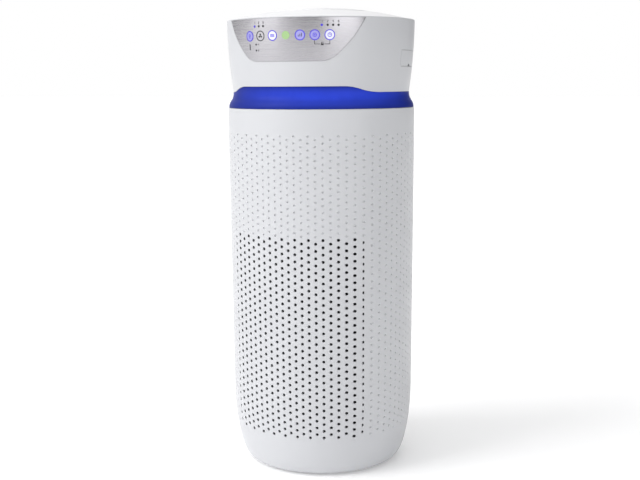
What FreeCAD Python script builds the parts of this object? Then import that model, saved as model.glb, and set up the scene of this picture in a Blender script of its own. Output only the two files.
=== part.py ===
import FreeCAD, Part

# Tower air purifier: a round casing with a perforated front, a lift-off filter door at the back,
# a cylindrical filter, a lamp chamber, a centrifugal fan, and a flared head with a touch panel,
# an aroma tray and a domed outlet.
# Millimetres. +Z is up, the front faces -Y, and the origin is on the floor under the middle of the casing.

import math
import os

import Sketcher
from FreeCAD import Placement, Rotation, Vector

doc = FreeCAD.newDocument("tower_air_purifier")

# ---------------------------------------------------------------- driving sizes

SIZES = {
    # casing
    "casing_radius": (136.0, "outer radius of the casing at its top"),
    "casing_top": (524.3, "top edge of the casing"),
    "wall": (2.6, "wall of the casing, the head and the door"),
    "foot_gap": (3.0, "floor to the underside of the casing"),
    "foot_flat": ("=casing_radius - 27.6", "radius of the casing's flat underside"),
    "corner_height": (118.0, "height at which the rounded foot ends"),
    "corner_radius": ("=casing_radius - 2.6", "outer radius of the casing where the rounded foot ends"),
    "shoulder_height": (470.0, "height above which the casing is a plain cylinder"),
    "flange_bore": ("=foot_flat - 10.4", "radius of the opening in the casing's underside"),
    "fit_gap": (0.3, "gap beside a part that slides or lifts out"),
    "seam_gap": (0.6, "gap round the filter door"),
    # intake holes
    "hole_radius": (2.15, "radius of an intake hole"),
    "edge_hole_radius": (1.2, "radius of the holes in the outermost column"),
    "hole_column_pitch": (9.57, "sideways distance between hole columns"),
    "hole_columns": (21, "hole columns in the front field"),
    "hole_row_pitch": (10.1, "distance between holes in one column"),
    "hole_rows": (29, "holes in a full column"),
    "hole_bottom": (62.7, "height of the lowest hole"),
    "field_margin": (5.2, "plain border round a field of holes"),
    "door_hole_columns": (19, "hole columns in the door's field"),
    # filter door
    "door_half_width": (106.0, "half the width of the door opening"),
    "door_bottom": (44.0, "lower edge of the door opening"),
    "door_top": (366.0, "upper edge of the door opening"),
    "door_hole_rows": ("=floor((door_top - 93.2) / hole_row_pitch)", "holes in a full column of the door"),
    "door_corner": (16.0, "corner radius of the door opening"),
    "pull_half_width": (33.0, "half the width of the finger recess in the door"),
    "pull_height": (19.0, "height of the finger recess"),
    "pull_depth": (13.0, "depth of the finger recess behind the door's face"),
    "pull_below_top": (9.0, "door's top edge down to the finger recess"),
    "magnet_length": (16.0, "length of a door magnet"),
    "magnet_depth": (5.0, "thickness of a door magnet"),
    "magnet_spread": (74.0, "distance of the magnets from the middle of the door"),
    "magnet_inset": (1.2, "gap between a magnet and the edge of the door or its opening"),
    "pull_room": (1.0, "gap between the finger recess and the deck behind it"),
    # base
    "plate_thick": (3.0, "thickness of the flat plates"),
    "plate_rim": (6.5, "how far the base plate overlaps the casing's flange"),
    "pad_radius": (11.0, "radius of a rubber foot"),
    "pad_circle": (82.0, "radius of the circle of rubber feet"),
    "screw_radius": (1.5, "shank radius of the screws"),
    "screw_head_radius": (2.8, "head radius of the screws"),
    "screw_head_height": (1.8, "height of a screw's head"),
    "seat_top": (50.0, "top of the platform that carries the filter"),
    "seat_radius": (112.0, "radius of the filter platform"),
    "seat_leg_radius": (98.0, "outer radius of the platform's skirt"),
    "rail_width": (3.6, "width of a side rail beside the filter"),
    "rail_length": (78.0, "length of a side rail"),
    "rail_height": (6.0, "height of a side rail"),
    # cord inlet
    "cord_bore": (3.6, "bore radius of the cord gland"),
    "gland_radius": (7.0, "outside radius of the gland's barrel"),
    "gland_height": (27.0, "height of the cord gland's axis"),
    "gland_flange": (9.5, "radius of the gland's flange"),
    "gland_inner": ("=casing_radius - 26", "inner end of the gland, from the casing's axis"),
    "gland_outer": ("=casing_radius - 5", "outer end of the gland, from the casing's axis"),
    "gland_seat": ("=casing_radius - 9.8", "back of the gland's flange, from the casing's axis"),
    "gland_flange_thick": (2.5, "thickness of the gland's flange"),
    "gland_nut_width": (1.9, "gland nut across its corners, in flange radii"),
    "gland_nut_thick": (4.0, "thickness of the gland's nut"),
    "gland_nut_inset": (2.0, "inner end of the gland to its nut"),
    # filter
    "filter_radius": (100.0, "outer radius of the filter's end caps"),
    "filter_top": (345.0, "top of the filter's upper cap"),
    "cap_thick": (7.0, "thickness of the filter's end caps"),
    "core_radius": (62.0, "radius of the filter's clean-air bore"),
    "carbon_thick": (7.0, "thickness of the carbon sleeve"),
    "pleat_inner": (71.0, "inner radius of the pleats"),
    "pleat_outer": (94.5, "outer radius of the pleats"),
    "pleat_sheet": (1.6, "radial thickness of the pleated sheet"),
    "pleat_count": (60, "number of pleats"),
    "screen_thick": (2.5, "thickness of the pre-filter screen"),
    "gasket_thick": (5.0, "thickness of the filter's foam gasket"),
    "screen_inset": (0.5, "edge of the end caps in to the pre-filter screen"),
    "tab_half_width": (14.0, "half the width of the pull tab"),
    "tab_inner": (80.0, "inner end of the pull tab, from the axis"),
    "tab_reach": (14.0, "how far the pull tab stands out past the filter"),
    "tab_thick": (2.0, "thickness of the pull tab"),
    "tab_drop": (1.0, "filter's top down to the pull tab"),
    "tab_eye_half_width": (9.0, "half the width of the pull tab's eye"),
    "tab_eye_start": (3.0, "filter's edge out to the pull tab's eye"),
    "tab_eye_length": (7.0, "length of the pull tab's eye"),
    # lamp chamber
    "deck_height": (350.4, "underside of the deck above the filter"),
    "deck_bore": (72.0, "radius of the opening in the deck"),
    "duct_radius": (97.0, "outer radius of the lamp chamber's wall"),
    "sheet_wall": (2.0, "wall of the internal ducts"),
    "lamp_height": (384.0, "height of the lamp's axis"),
    "lamp_radius": (7.75, "radius of the lamp's glass"),
    "lamp_glass_wall": (1.0, "wall of the lamp's glass"),
    "lamp_half_length": (72.0, "half the length of the lamp's glass"),
    "lamp_cap_length": (12.0, "length of a lamp cap"),
    "lamp_cap_radius": (8.2, "radius of a lamp cap"),
    "holder_inner": (78.0, "inner face of a lamp holder, from the middle"),
    "holder_depth": (12.0, "thickness of a lamp holder"),
    "reflector_radius": (20.0, "radius of the lamp's reflector"),
    "holder_half_width": (11.0, "half the width of a lamp holder"),
    "holder_rise": (11.0, "top of a lamp holder above the lamp's axis"),
    "reflector_sheet": (0.8, "thickness of the reflector"),
    "reflector_half_width": (30.0, "half the width that is trimmed from above the reflector"),
    "reflector_drop": (6.0, "lamp's axis down to the reflector's edges"),
    "ballast_outer": ("=casing_radius - 11", "outer face of the lamp's ballast, from the axis"),
    "ballast_gap": (3.0, "gap between the ballast and the lamp chamber"),
    "ballast_half_length": (27.0, "half the length of the ballast"),
    "ballast_height": (20.0, "height of the ballast"),
    # fan
    "ledge_top": (411.0, "top of the casing's inner ledge"),
    "ledge_inner": ("=casing_radius - 9", "inner radius of the casing's ledge"),
    "inlet_bore": (62.0, "bore radius of the fan inlet"),
    "housing_radius": ("=casing_radius - 9.5", "outer radius of the fan housing"),
    "housing_top": ("=casing_top - 4.3", "top of the fan housing"),
    "wheel_radius": (92.0, "outer radius of the fan wheel"),
    "wheel_eye": (66.0, "radius of the fan wheel's inlet"),
    "wheel_bottom": ("=casing_top - 98.3", "lower face of the fan wheel"),
    "wheel_height": (51.0, "height of the fan wheel"),
    "wheel_plate": (2.0, "thickness of the fan wheel's discs"),
    "blade_count": (11, "blades on the fan wheel"),
    "blade_thick": (2.2, "thickness of a blade"),
    "shaft_radius": (4.0, "radius of the motor's shaft"),
    "shaft_play": (0.05, "running clearance round the shaft"),
    "hub_radius": (11.0, "radius of the fan wheel's hub"),
    "motor_radius": (42.0, "radius of the motor's case"),
    "motor_bottom": ("=casing_top - 42.3", "underside of the motor"),
    "motor_top": ("=casing_top - 8.3", "top of the motor"),
    "rotor_radius": (22.0, "radius of the motor's rotor"),
    "air_gap": (0.8, "gap between rotor and stator"),
    "mount_arms": (5, "arms of the motor mount"),
    "mount_rim": (10.0, "width of the motor mount's rim"),
    "mount_screw_inset": (7.5, "outer edge of the motor mount in to its screws"),
    "housing_wall": (2.5, "wall of the fan housing"),
    "inlet_lip": (5.0, "size of the fan inlet's chamfered lip"),
    "inlet_ring_gap": (1.6, "gap between the fan inlet's ring and the casing"),
    "inlet_top_gap": (1.0, "gap between the fan inlet and the wheel"),
    "hub_drop": (20.0, "wheel's top down to the underside of its hub"),
    "hub_flare": (3.0, "how much wider the hub is at the wheel's disc"),
    "shaft_below_hub": (10.0, "length of shaft below the hub"),
    "shaft_below_lid": (4.0, "motor's top down to the end of the shaft"),
    "wheel_nut_width": (13.0, "wheel nut across its corners"),
    "wheel_nut_height": (6.5, "height of the wheel nut"),
    "blade_root_inset": (6.0, "wheel's inlet edge in to a blade's root"),
    "blade_tip_inset": (1.0, "wheel's rim in to a blade's tip"),
    "blade_sweep": (36.0, "angle by which a blade trails, in degrees"),
    "blade_outer_bend": (62.0, "radius of a blade's outer face"),
    "blade_inner_bend": (60.0, "radius of a blade's inner face"),
    "bearing_radius": (10.0, "outer radius of a bearing"),
    "bearing_height": (5.0, "height of a bearing"),
    "winding_gap_low": (2.0, "gap between the lower bearing and the windings"),
    "winding_gap_high": (4.0, "gap between the windings and the upper bearing"),
    "mount_hub_rim": (6.0, "how far the mount's hub stands out round the motor"),
    "mount_arm_half_width": (4.0, "half the width of a mount arm"),
    "mount_arm_overlap": (2.0, "how far an arm runs into the mount's rim"),
    # head
    "flange_gap": (0.8, "gap between the casing's wall and what drops into its top"),
    "outlet_radius": (88.5, "outer radius of the outlet duct"),
    "outlet_top": ("=casing_top + 127.7", "top of the outlet duct"),
    "head_top": ("=casing_top + 123.7", "rim of the head"),
    "head_edge_low": ("=casing_top + 22.4", "lower edge of the head at the sides and back"),
    "head_edge_high": ("=casing_top + 30.6", "lower edge of the head at the front"),
    "edge_flat_half": (73.5, "half the width of the raised front edge"),
    "edge_sweep_half": (111.0, "half width at which the raised edge has run out"),
    "rim_depth": (4.0, "how far the outlet dome's edge sits down inside the rim"),
    "head_max_radius": ("=casing_radius + 0.2", "largest radius of the head's curve"),
    "head_max_height": ("=casing_top + 135.7", "height at which the head's curve is upright"),
    "head_curve": (802.0, "radius of the head's upright curve"),
    "ring_radius": ("=casing_radius - 7.8", "radius of the light ring at its waist"),
    "ring_waist": ("=casing_top + 20.5", "height at which the light ring's flare begins"),
    "ring_foot_radius": ("=casing_radius - 1", "radius of the light ring at the casing"),
    "collar_radius": ("=casing_radius - 10.8", "outer radius of the light ring's inner collar"),
    "collar_top": ("=casing_top + 37.7", "top of the light ring's collar"),
    "collar_wall": (4.6, "wall of the light ring's collar"),
    # outlet grille
    "dome_rise": (17.5, "rise of the outlet dome above the rim"),
    "dome_wall": (2.5, "thickness of the outlet dome"),
    "dome_skirt": (4.2, "width of the outlet dome's thick rim"),
    "slot_inner": (22.0, "inner radius of the innermost outlet slot"),
    "slot_pitch": (6.4, "distance from one ring slot to the next"),
    "slot_width": (3.8, "width of a ring slot"),
    "slot_rings": (10, "ring slots in the outlet dome"),
    "spoke_count": (8, "spokes across the ring slots"),
    "spoke_width": (4.0, "width of a spoke"),
    # control panel
    "panel_flat_half": (45.5, "half the straight lower edge of the panel"),
    "panel_bottom": ("=casing_top + 64", "lower edge of the panel"),
    "panel_corner": (27.0, "corner radius of the panel"),
    "panel_slope": (57.0, "slope of the panel's sides above the horizontal, in degrees"),
    "panel_top": ("=casing_top + 122.3", "upper edge of the panel"),
    "panel_thick": (1.5, "thickness of the panel"),
    "panel_gap": (0.2, "gap round the panel"),
    "panel_window_half": (64.0, "half the width of the window behind the panel"),
    "key_height": ("=casing_top + 98.8", "height of the row of touch keys"),
    "key_pitch": (8.5, "angle between touch keys, in degrees"),
    "key_radius": (5.0, "radius of a key's light guide"),
    "board_face": ("=casing_radius - 28.4", "front face of the control board, from the axis"),
    "board_thick": (1.6, "thickness of the circuit boards"),
    "window_above_edge": (13.7, "panel's lower edge up to the window behind it"),
    "window_below_edge": (6.6, "panel's upper edge down to the window behind it"),
    "layer_margin": (2.0, "how far a trimming layer runs on below what it trims"),
    "board_margin": (3.0, "window's edge in to the control board"),
    "board_below_keys": (17.0, "keys down to the control board's lower edge"),
    "board_above_keys": (13.0, "keys up to the control board's upper edge"),
    "bracket_thick": (2.0, "thickness of the control board's bracket"),
    "leg_half_width": (3.0, "half the thickness of a bracket's leg or rib"),
    "leg_spread": (34.0, "distance of the bracket's legs from the middle"),
    "leg_inner": (60.0, "depth at which the legs are trimmed to the duct"),
    # power board
    "power_gap": (4.0, "gap between the outlet duct and the power board"),
    "power_bottom": ("=casing_top + 47.7", "lower edge of the power board"),
    "power_height": (60.0, "height of the power board"),
    "power_half_width": (30.0, "half the width of the power board"),
    "rib_spread": (20.0, "distance of the power board's ribs from the middle"),
    "rib_inner": (70.0, "depth at which the ribs are trimmed to the duct"),
    "capacitor_radius": (5.0, "radius of a capacitor"),
    "capacitor_length": (16.0, "length of a capacitor"),
    # ioniser
    "ioniser_left": (66.0, "left face of the ioniser, from the axis"),
    "ioniser_right": (40.0, "right face of the ioniser, left of the axis"),
    "ioniser_near": (66.0, "depth at which the ioniser is trimmed to the duct"),
    "ioniser_far": (98.0, "back of the ioniser, from the axis"),
    "ioniser_bottom": ("=casing_top + 59.7", "underside of the ioniser"),
    "ioniser_height": (22.0, "height of the ioniser"),
    "needle_radius": (0.8, "radius of an ioniser needle"),
    "needle_length": (12.0, "length of an ioniser needle"),
    "needle_start": (6.0, "ioniser's underside up to its lower needle"),
    "needle_pitch": (10.0, "distance between the needles"),
    "needle_hole": (1.2, "radius of a needle's hole in the duct"),
    "needle_hole_in": (6.0, "how far a needle's drill reaches into the duct"),
    "needle_hole_out": (1.0, "how far a needle's drill reaches out of the duct"),
    # aroma tray
    "tray_floor": (4.0, "thickness of the aroma tray's floor"),
    "tray_front_extra": (4.0, "extra thickness behind the curved front"),
    "pad_height": (8.0, "height of the scent pad"),
    "notch_drop": (3.2, "tray's underside down to the notch's axis"),
    "sleeve_wall": (1.6, "wall of the tray's sleeve"),
    "sleeve_room": (1.2, "gap behind the closed tray"),
    "sleeve_margin": (5.0, "how far the sleeve's trimming layer starts below the tray"),
    "head_reach": (45.0, "how far the tray's trimming layers run above the hand recess's lower edge"),
    "tray_half_width": (30.0, "half the width of the aroma tray"),
    "tray_bottom": ("=casing_top + 57.7", "underside of the aroma tray"),
    "tray_height": (22.0, "height of the aroma tray"),
    "tray_back": ("=casing_radius - 41", "inner end of the aroma tray, from the axis"),
    "tray_wall": (2.0, "wall of the aroma tray"),
    "tray_front_wall": (5.0, "thickness of the tray's front"),
    "notch_half": (6.5, "half the width of the tray's finger notch"),
    # carry handle
    "grip_half_width": (47.5, "half the width of the hand recess"),
    "grip_bottom": ("=casing_top + 50.2", "lower edge of the hand recess"),
    "grip_height": (37.0, "height of the hand recess"),
    "grip_wall": (2.5, "wall of the hand recess"),
    "grip_margin": (10.0, "how far the recess's trimming layer starts below it"),
    "grip_above": (60.0, "how far the recess's trimming layer runs up from its lower edge"),
    "grip_back": ("=casing_radius - 33.5", "floor of the hand recess, from the axis"),
}


class Size:
    """A length that carries both its value and the spreadsheet formula it comes from."""

    def __init__(self, value, formula):
        self.value = value
        self.formula = formula

    def __float__(self):
        return float(self.value)

    def __add__(self, other):
        other = sized(other)
        return Size(self.value + other.value, f"({self.formula} + {other.formula})")

    def __sub__(self, other):
        other = sized(other)
        return Size(self.value - other.value, f"({self.formula} - {other.formula})")

    def __mul__(self, other):
        other = sized(other)
        return Size(self.value * other.value, f"({self.formula} * {other.formula})")

    def __truediv__(self, other):
        other = sized(other)
        return Size(self.value / other.value, f"({self.formula} / {other.formula})")

    def __neg__(self):
        return Size(-self.value, f"(-{self.formula})")

    def __radd__(self, other):
        return sized(other) + self

    def __rsub__(self, other):
        return sized(other) - self

    def __rmul__(self, other):
        return sized(other) * self


def sized(amount):
    return amount if isinstance(amount, Size) else Size(float(amount), f"{float(amount):.6f}")


def sine(degrees):
    return Size(math.sin(math.radians(degrees.value)), f"sin({degrees.formula})")


def cosine(degrees):
    return Size(math.cos(math.radians(degrees.value)), f"cos({degrees.formula})")


def root(amount):
    return Size(math.sqrt(amount.value), f"sqrt({amount.formula})")


sheet = doc.addObject("Spreadsheet::Sheet", "sizes")
for row, (alias, (number, note)) in enumerate(SIZES.items(), 1):
    sheet.set(f"A{row}", alias)
    sheet.set(f"B{row}", str(number))  # a number, or a formula of sizes above it
    sheet.setAlias(f"B{row}", alias)
    sheet.set(f"C{row}", note)
doc.recompute()


class Sheet:
    """Reads a size by its alias, so that s.wall is the wall with its formula."""

    def __getattr__(self, alias):
        return Size(float(getattr(sheet, alias)), f"sizes.{alias}")


s = Sheet()
ZERO = sized(0)
nodes = {}  # node name to the document object whose shape is exported

# ---------------------------------------------------------------- building helpers


def node(name, made):
    made.Label = name
    nodes[name] = made
    return made


def bind(thing, **amounts):
    for prop, amount in amounts.items():
        thing.setExpression(prop, sized(amount).formula)
    return thing


def place(thing, x=ZERO, y=ZERO, z=ZERO, rotation=None):
    if rotation is not None:
        thing.Placement = Placement(Vector(0, 0, 0), rotation)
    for axis, amount in (("x", x), ("y", y), ("z", z)):
        thing.setExpression(f"Placement.Base.{axis}", sized(amount).formula)
    return thing


def box(name, x0, x1, y0, y1, z0, z1):
    x0, x1, y0, y1, z0, z1 = (sized(amount) for amount in (x0, x1, y0, y1, z0, z1))
    made = bind(doc.addObject("Part::Box", name), Length=x1 - x0, Width=y1 - y0, Height=z1 - z0)
    return place(made, x0, y0, z0)


TURN = {"z": Rotation(), "x": Rotation(Vector(0, 1, 0), 90), "y": Rotation(Vector(1, 0, 0), -90)}


def rod(name, radius, length, x=ZERO, y=ZERO, z=ZERO, along="z"):
    made = bind(doc.addObject("Part::Cylinder", name), Radius=radius, Height=length)
    return place(made, x, y, z, TURN[along])


def hexagon(name, across, length, x=ZERO, y=ZERO, z=ZERO, along="z"):
    made = doc.addObject("Part::Prism", name)
    made.Polygon = 6
    bind(made, Circumradius=across / math.sqrt(3), Height=length)
    return place(made, x, y, z, TURN[along])


def group(name, members):
    made = doc.addObject("Part::Compound", name)
    made.Links = members
    return made


def fuse(name, *members):
    made = doc.addObject("Part::MultiFuse", name)
    made.Shapes = list(members)
    made.Refine = True
    return made


def cut(name, base, *tools):
    made = doc.addObject("Part::Cut", name)
    made.Base = base
    made.Tool = tools[0] if len(tools) == 1 else group(name + "_tools", list(tools))
    return made


def common(name, one, other):
    made = doc.addObject("Part::Common", name)
    made.Base = one
    made.Tool = other
    return made


def shaped(name, shape):
    made = doc.addObject("Part::Feature", name)
    made.Shape = shape
    return made


def sketch_in(body, name, role, lift=None):
    """A sketch on one of the body's own origin planes, lifted off it by an attachment offset."""
    made = body.newObject("Sketcher::SketchObject", name)
    support = next(part for part in body.Origin.OriginFeatures if part.Role == role)
    made.AttachmentSupport = [(support, "")]
    made.MapMode = "FlatFace"
    if lift is not None:
        made.setExpression("AttachmentOffset.Base.z", sized(lift).formula)
    return made


def fix_point(sketch, geometry, end, x, y):
    """Ties one end of a sketch element to the sheet, measured from the sketch's origin."""
    for kind, amount, axis in (("DistanceX", sized(x), -2), ("DistanceY", sized(y), -1)):
        if amount.formula == ZERO.formula:
            sketch.addConstraint(Sketcher.Constraint("PointOnObject", geometry, end, axis))
        elif amount.value < 0:
            index = sketch.addConstraint(Sketcher.Constraint(kind, geometry, end, -1, 1, -amount.value))
            sketch.setExpression(f"Constraints[{index}]", (-amount).formula)
        else:
            index = sketch.addConstraint(Sketcher.Constraint(kind, -1, 1, geometry, end, amount.value))
            sketch.setExpression(f"Constraints[{index}]", amount.formula)


def arc_between(start, end, radius, turn):
    """The short arc of that radius from start to end, turning left (1) or right (-1)."""
    chord = end - start
    middle = (start + end) * 0.5
    side = Vector(-chord.y, chord.x, 0).normalize() * turn
    centre = middle + side * math.sqrt(max(radius**2 - (chord.Length / 2) ** 2, 0))
    first, last = (start, end) if turn > 0 else (end, start)
    angles = [math.atan2(p.y - centre.y, p.x - centre.x) for p in (first, last)]
    return Part.ArcOfCircle(Part.Circle(centre, Vector(0, 0, 1), radius), *angles)


def outline(sketch, points, arcs=None):
    """A closed outline through the points. arcs maps a stretch's index to its (radius, turn)."""
    arcs = arcs or {}
    flat = [Vector(float(sized(x)), float(sized(y)), 0) for x, y in points]
    count = len(points)
    first = []
    for i in range(count):
        start, end = flat[i], flat[(i + 1) % count]
        if i in arcs:
            radius, turn = arcs[i]
            geometry = sketch.addGeometry(arc_between(start, end, float(sized(radius)), turn))
            index = sketch.addConstraint(Sketcher.Constraint("Radius", geometry, float(sized(radius))))
            sketch.setExpression(f"Constraints[{index}]", sized(radius).formula)
            first.append((geometry, 1 if turn > 0 else 2))
        else:
            first.append((sketch.addGeometry(Part.LineSegment(start, end)), 1))
    for i, (geometry, begin) in enumerate(first):
        following, other = first[(i + 1) % count]
        sketch.addConstraint(Sketcher.Constraint("Coincident", geometry, 3 - begin, following, other))
        fix_point(sketch, geometry, begin, *points[i])


def circle(sketch, radius, x=ZERO, y=ZERO):
    made = Part.Circle(Vector(float(sized(x)), float(sized(y)), 0), Vector(0, 0, 1), float(radius))
    geometry = sketch.addGeometry(made)
    index = sketch.addConstraint(Sketcher.Constraint("Radius", geometry, float(radius)))
    sketch.setExpression(f"Constraints[{index}]", radius.formula)
    fix_point(sketch, geometry, 3, x, y)


def turned(name, points, arcs=None):
    """A body turned about Z from an outline of (radius, height) points."""
    body = doc.addObject("PartDesign::Body", name)
    profile = sketch_in(body, name + "_profile", "XZ_Plane")
    outline(profile, points, arcs)
    feature = body.newObject("PartDesign::Revolution", name + "_turn")
    feature.Profile = profile
    feature.ReferenceAxis = (profile, ["V_Axis"])
    feature.Angle = 360
    return body


def tube(name, outer, inner, bottom, top):
    return turned(name, [(inner, bottom), (outer, bottom), (outer, top), (inner, top)])


def pad(body, name, sketch, length, reverse=False):
    feature = body.newObject("PartDesign::Pad", name)
    feature.Profile = sketch
    feature.Reversed = reverse
    bind(feature, Length=length)
    return feature


def prism(name, points, arcs, depth, back=False):
    """An outline in the XZ plane, pushed out to the front (-Y), or to the back."""
    body = doc.addObject("PartDesign::Body", name)
    profile = sketch_in(body, name + "_outline", "XZ_Plane")
    outline(profile, points, arcs)
    pad(body, name + "_push", profile, depth, reverse=back)
    return body


def rounded(half_width, bottom, top, corner):
    """Points and arcs of a rounded rectangle in the XZ plane."""
    low, high = bottom + corner, top - corner
    side = half_width - corner
    points = [
        (-side, bottom), (side, bottom), (half_width, low), (half_width, high),
        (side, top), (-side, top), (-half_width, high), (-half_width, low),
    ]
    return points, {i: (corner, 1) for i in (1, 3, 5, 7)}


# ---------------------------------------------------------------- casing and door


def casing_shell(name):
    """The whole casing wall as one turned shell: an elliptical foot, a slight taper and a plain top."""
    wall, gap, flat = s.wall.value, s.foot_gap.value, s.foot_flat.value
    corner, top = s.corner_height.value, s.casing_top.value
    outer, upper, shoulder = s.corner_radius.value, s.casing_radius.value, s.shoulder_height.value
    floor = gap + s.plate_thick.value

    def foot(radius, lowest):
        oval = Part.Ellipse(Vector(flat, 0, lowest), Vector(radius, 0, corner), Vector(flat, 0, corner))
        return Part.ArcOfEllipse(oval, 0, math.pi / 2).toShape()

    def line(x0, z0, x1, z1):
        return Part.makeLine(Vector(x0, 0, z0), Vector(x1, 0, z1))

    bore = s.flange_bore.value
    edges = [
        line(bore, gap, flat, gap),
        foot(outer, gap),
        line(outer, corner, upper, shoulder),
        line(upper, shoulder, upper, top),
        line(upper, top, upper - wall, top),
        line(upper - wall, top, upper - wall, shoulder),
        line(upper - wall, shoulder, outer - wall, corner),
        foot(outer - wall, floor),
        line(flat, floor, bore, floor),
        line(bore, floor, bore, gap),
    ]
    face = Part.Face(Part.Wire(Part.__sortEdges__(edges)))
    return shaped(name, face.revolve(Vector(0, 0, 0), Vector(0, 0, 1), 360))


DEEP = s.casing_radius * 1.5  # longer than any cut through the casing has to be


def hole_field(name, half, rows, facing, first, last):
    """The intake holes of some columns: staggered, and all bored straight along Y."""
    drills = []
    for column in range(first, last + 1):
        # every other column starts half a pitch higher and has one hole less
        shorter = (column + half + 1) % 2
        radius = s.edge_hole_radius.value if abs(column) == half else s.hole_radius.value
        for step in range(int(rows) - shorter):
            height = s.hole_bottom.value + (step + shorter / 2) * s.hole_row_pitch.value
            start = Vector(column * s.hole_column_pitch.value, 0, height)
            drills.append(Part.makeCylinder(radius, DEEP.value, start, Vector(0, facing, 0)))
    return shaped(name, Part.makeCompound(drills))


FIELD_HALF = (s.hole_columns - 1) / 2 * s.hole_column_pitch + s.field_margin
DOOR_FIELD_HALF = (s.door_hole_columns - 1) / 2 * s.hole_column_pitch + s.field_margin
FIELD_BOTTOM = s.hole_bottom - s.field_margin
FIELD_TOP = s.hole_bottom + (s.hole_rows - 1) * s.hole_row_pitch + s.field_margin
DOOR_FIELD_TOP = s.hole_bottom + (s.door_hole_rows - 1) * s.hole_row_pitch + s.field_margin
MIDDLE_COLUMNS = 7  # a field is three sections side by side, and this many columns are in the middle one


def grille(name, shell, columns, rows, width, top, facing):
    """The perforated part of a wall: three curved sections that meet face to face, midway between columns."""
    near, far = (-DEEP, ZERO) if facing < 0 else (ZERO, DEEP)
    half, middle = int(columns.value) // 2, MIDDLE_COLUMNS // 2
    parting = s.hole_column_pitch * (MIDDLE_COLUMNS / 2)
    sections = []
    for i, (left, right, first, last) in enumerate((
        (-width, -parting, -half, -middle - 1),
        (-parting, parting, -middle, middle),
        (parting, width, middle + 1, half),
    )):
        region = box(f"{name}_region_{i}", left, right, near, far, FIELD_BOTTOM, top)
        blank = common(f"{name}_blank_{i}", shell, region)
        drills = hole_field(f"{name}_holes_{i}", half, rows.value, facing, first, last)
        sections.append(cut(f"{name}_section_{i}", blank, drills))
    return node(name, group(name, sections))


def casing(shell):
    front = box("front_field", -FIELD_HALF, FIELD_HALF, -DEEP, ZERO, FIELD_BOTTOM, FIELD_TOP)
    points, arcs = rounded(s.door_half_width, s.door_bottom, s.door_top, s.door_corner)
    opening = prism("door_opening", points, arcs, DEEP, back=True)
    gland_hole = rod("gland_hole", s.gland_radius + s.fit_gap, DEEP, z=s.gland_height, along="y")
    screw_holes = base_screw_rods("flange_hole", s.screw_radius + s.fit_gap, ZERO, s.foot_gap + s.plate_thick)
    open_shell = cut("casing_cut", shell, front, opening, gland_hole, *screw_holes)
    ledge_bottom = s.ledge_top - s.plate_thick
    ledge = tube("casing_ledge", s.casing_radius - s.wall / 2, s.ledge_inner, ledge_bottom, s.ledge_top)
    inside = common("ledge_in_wall", ledge, casing_core("casing_core"))
    return node("casing_barrel", fuse("casing_barrel", open_shell, inside))


def casing_core(name):
    """A solid cone a little outside the casing's inner face, to trim what joins the wall."""
    bottom, top = s.corner_height, s.shoulder_height
    skin = s.wall / 2
    points = [(ZERO, bottom), (s.corner_radius - skin, bottom), (s.casing_radius - skin, top), (ZERO, top)]
    return turned(name, points)


def filter_door(shell):
    """The back panel: a window for its own grille, a finger recess and the magnets that hold it."""
    gap = s.seam_gap
    points, arcs = rounded(s.door_half_width - gap, s.door_bottom + gap, s.door_top - gap,
                           s.door_corner - gap)
    leaf = common("door_leaf", shell, prism("door_leaf_outline", points, arcs, DEEP, back=True))
    window = box("door_field", -DOOR_FIELD_HALF, DOOR_FIELD_HALF, ZERO, DEEP, FIELD_BOTTOM, DOOR_FIELD_TOP)
    pull_top = s.door_top - s.pull_below_top
    pull_bottom = pull_top - s.pull_height
    recess = box("pull_window", -s.pull_half_width, s.pull_half_width, ZERO, DEEP, pull_bottom, pull_top)
    node("filter_door", cut("filter_door", leaf, window, recess))
    # The finger recess is a cup behind the window, trimmed to the door's inner face.
    wall = s.sheet_wall
    floor = s.casing_radius - s.wall - s.pull_depth
    cup = box("pull_cup", -s.pull_half_width - wall, s.pull_half_width + wall, floor - wall, DEEP,
              pull_bottom - wall, pull_top + wall)
    hollow = box("pull_hollow", -s.pull_half_width, s.pull_half_width, floor, DEEP, pull_bottom, pull_top)
    lined = common("pull_trim", cut("pull_walls", cup, hollow), casing_inside("pull_inside"))
    node("door_pull", lined)


def casing_inside(name):
    """The space inside the casing's wall, above the rounded foot."""
    bottom, top = s.corner_height, s.shoulder_height
    low_radius, high_radius = s.corner_radius - s.wall, s.casing_radius - s.wall
    points = [(ZERO, bottom), (low_radius, bottom), (high_radius, top), (ZERO, top)]
    return turned(name, points)


def door_magnets():
    """Two magnets in the door's upper corners, each facing a steel keeper behind the casing's edge."""
    length, deep, high = s.magnet_length, s.magnet_depth, s.magnet_depth
    for name, low in (
        ("door_magnets", s.door_top - s.seam_gap - high - s.magnet_inset),
        ("magnet_keepers", s.door_top + s.magnet_inset),
    ):
        pieces = []
        for side, sign in (("left", -1), ("right", 1)):
            middle = s.magnet_spread * sign
            left, right, top = middle - length / 2, middle + length / 2, low + high
            block = box(f"{name}_{side}_block", left, right, ZERO, DEEP, low, top)
            ring = tube(f"{name}_{side}_ring", s.casing_radius, s.corner_radius - s.wall - deep, low, top)
            piece = common(f"{name}_{side}_piece", block, ring)
            pieces.append(common(f"{name}_{side}", piece, casing_inside(f"{name}_{side}_inside")))
        node(name, group(name, pieces))


# ---------------------------------------------------------------- base


BASE_TOP = s.foot_gap + s.plate_thick * 2


def base_screw_rods(name, radius, bottom, top):
    """Four upright rods on the circle of base screws."""
    circle_radius = s.flange_bore + (s.foot_flat - s.flange_bore) / 3
    spots = [(circle_radius, ZERO), (ZERO, circle_radius), (-circle_radius, ZERO), (ZERO, -circle_radius)]
    return [rod(f"{name}_{i}", radius, top - bottom, x, y, bottom) for i, (x, y) in enumerate(spots)]


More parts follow.
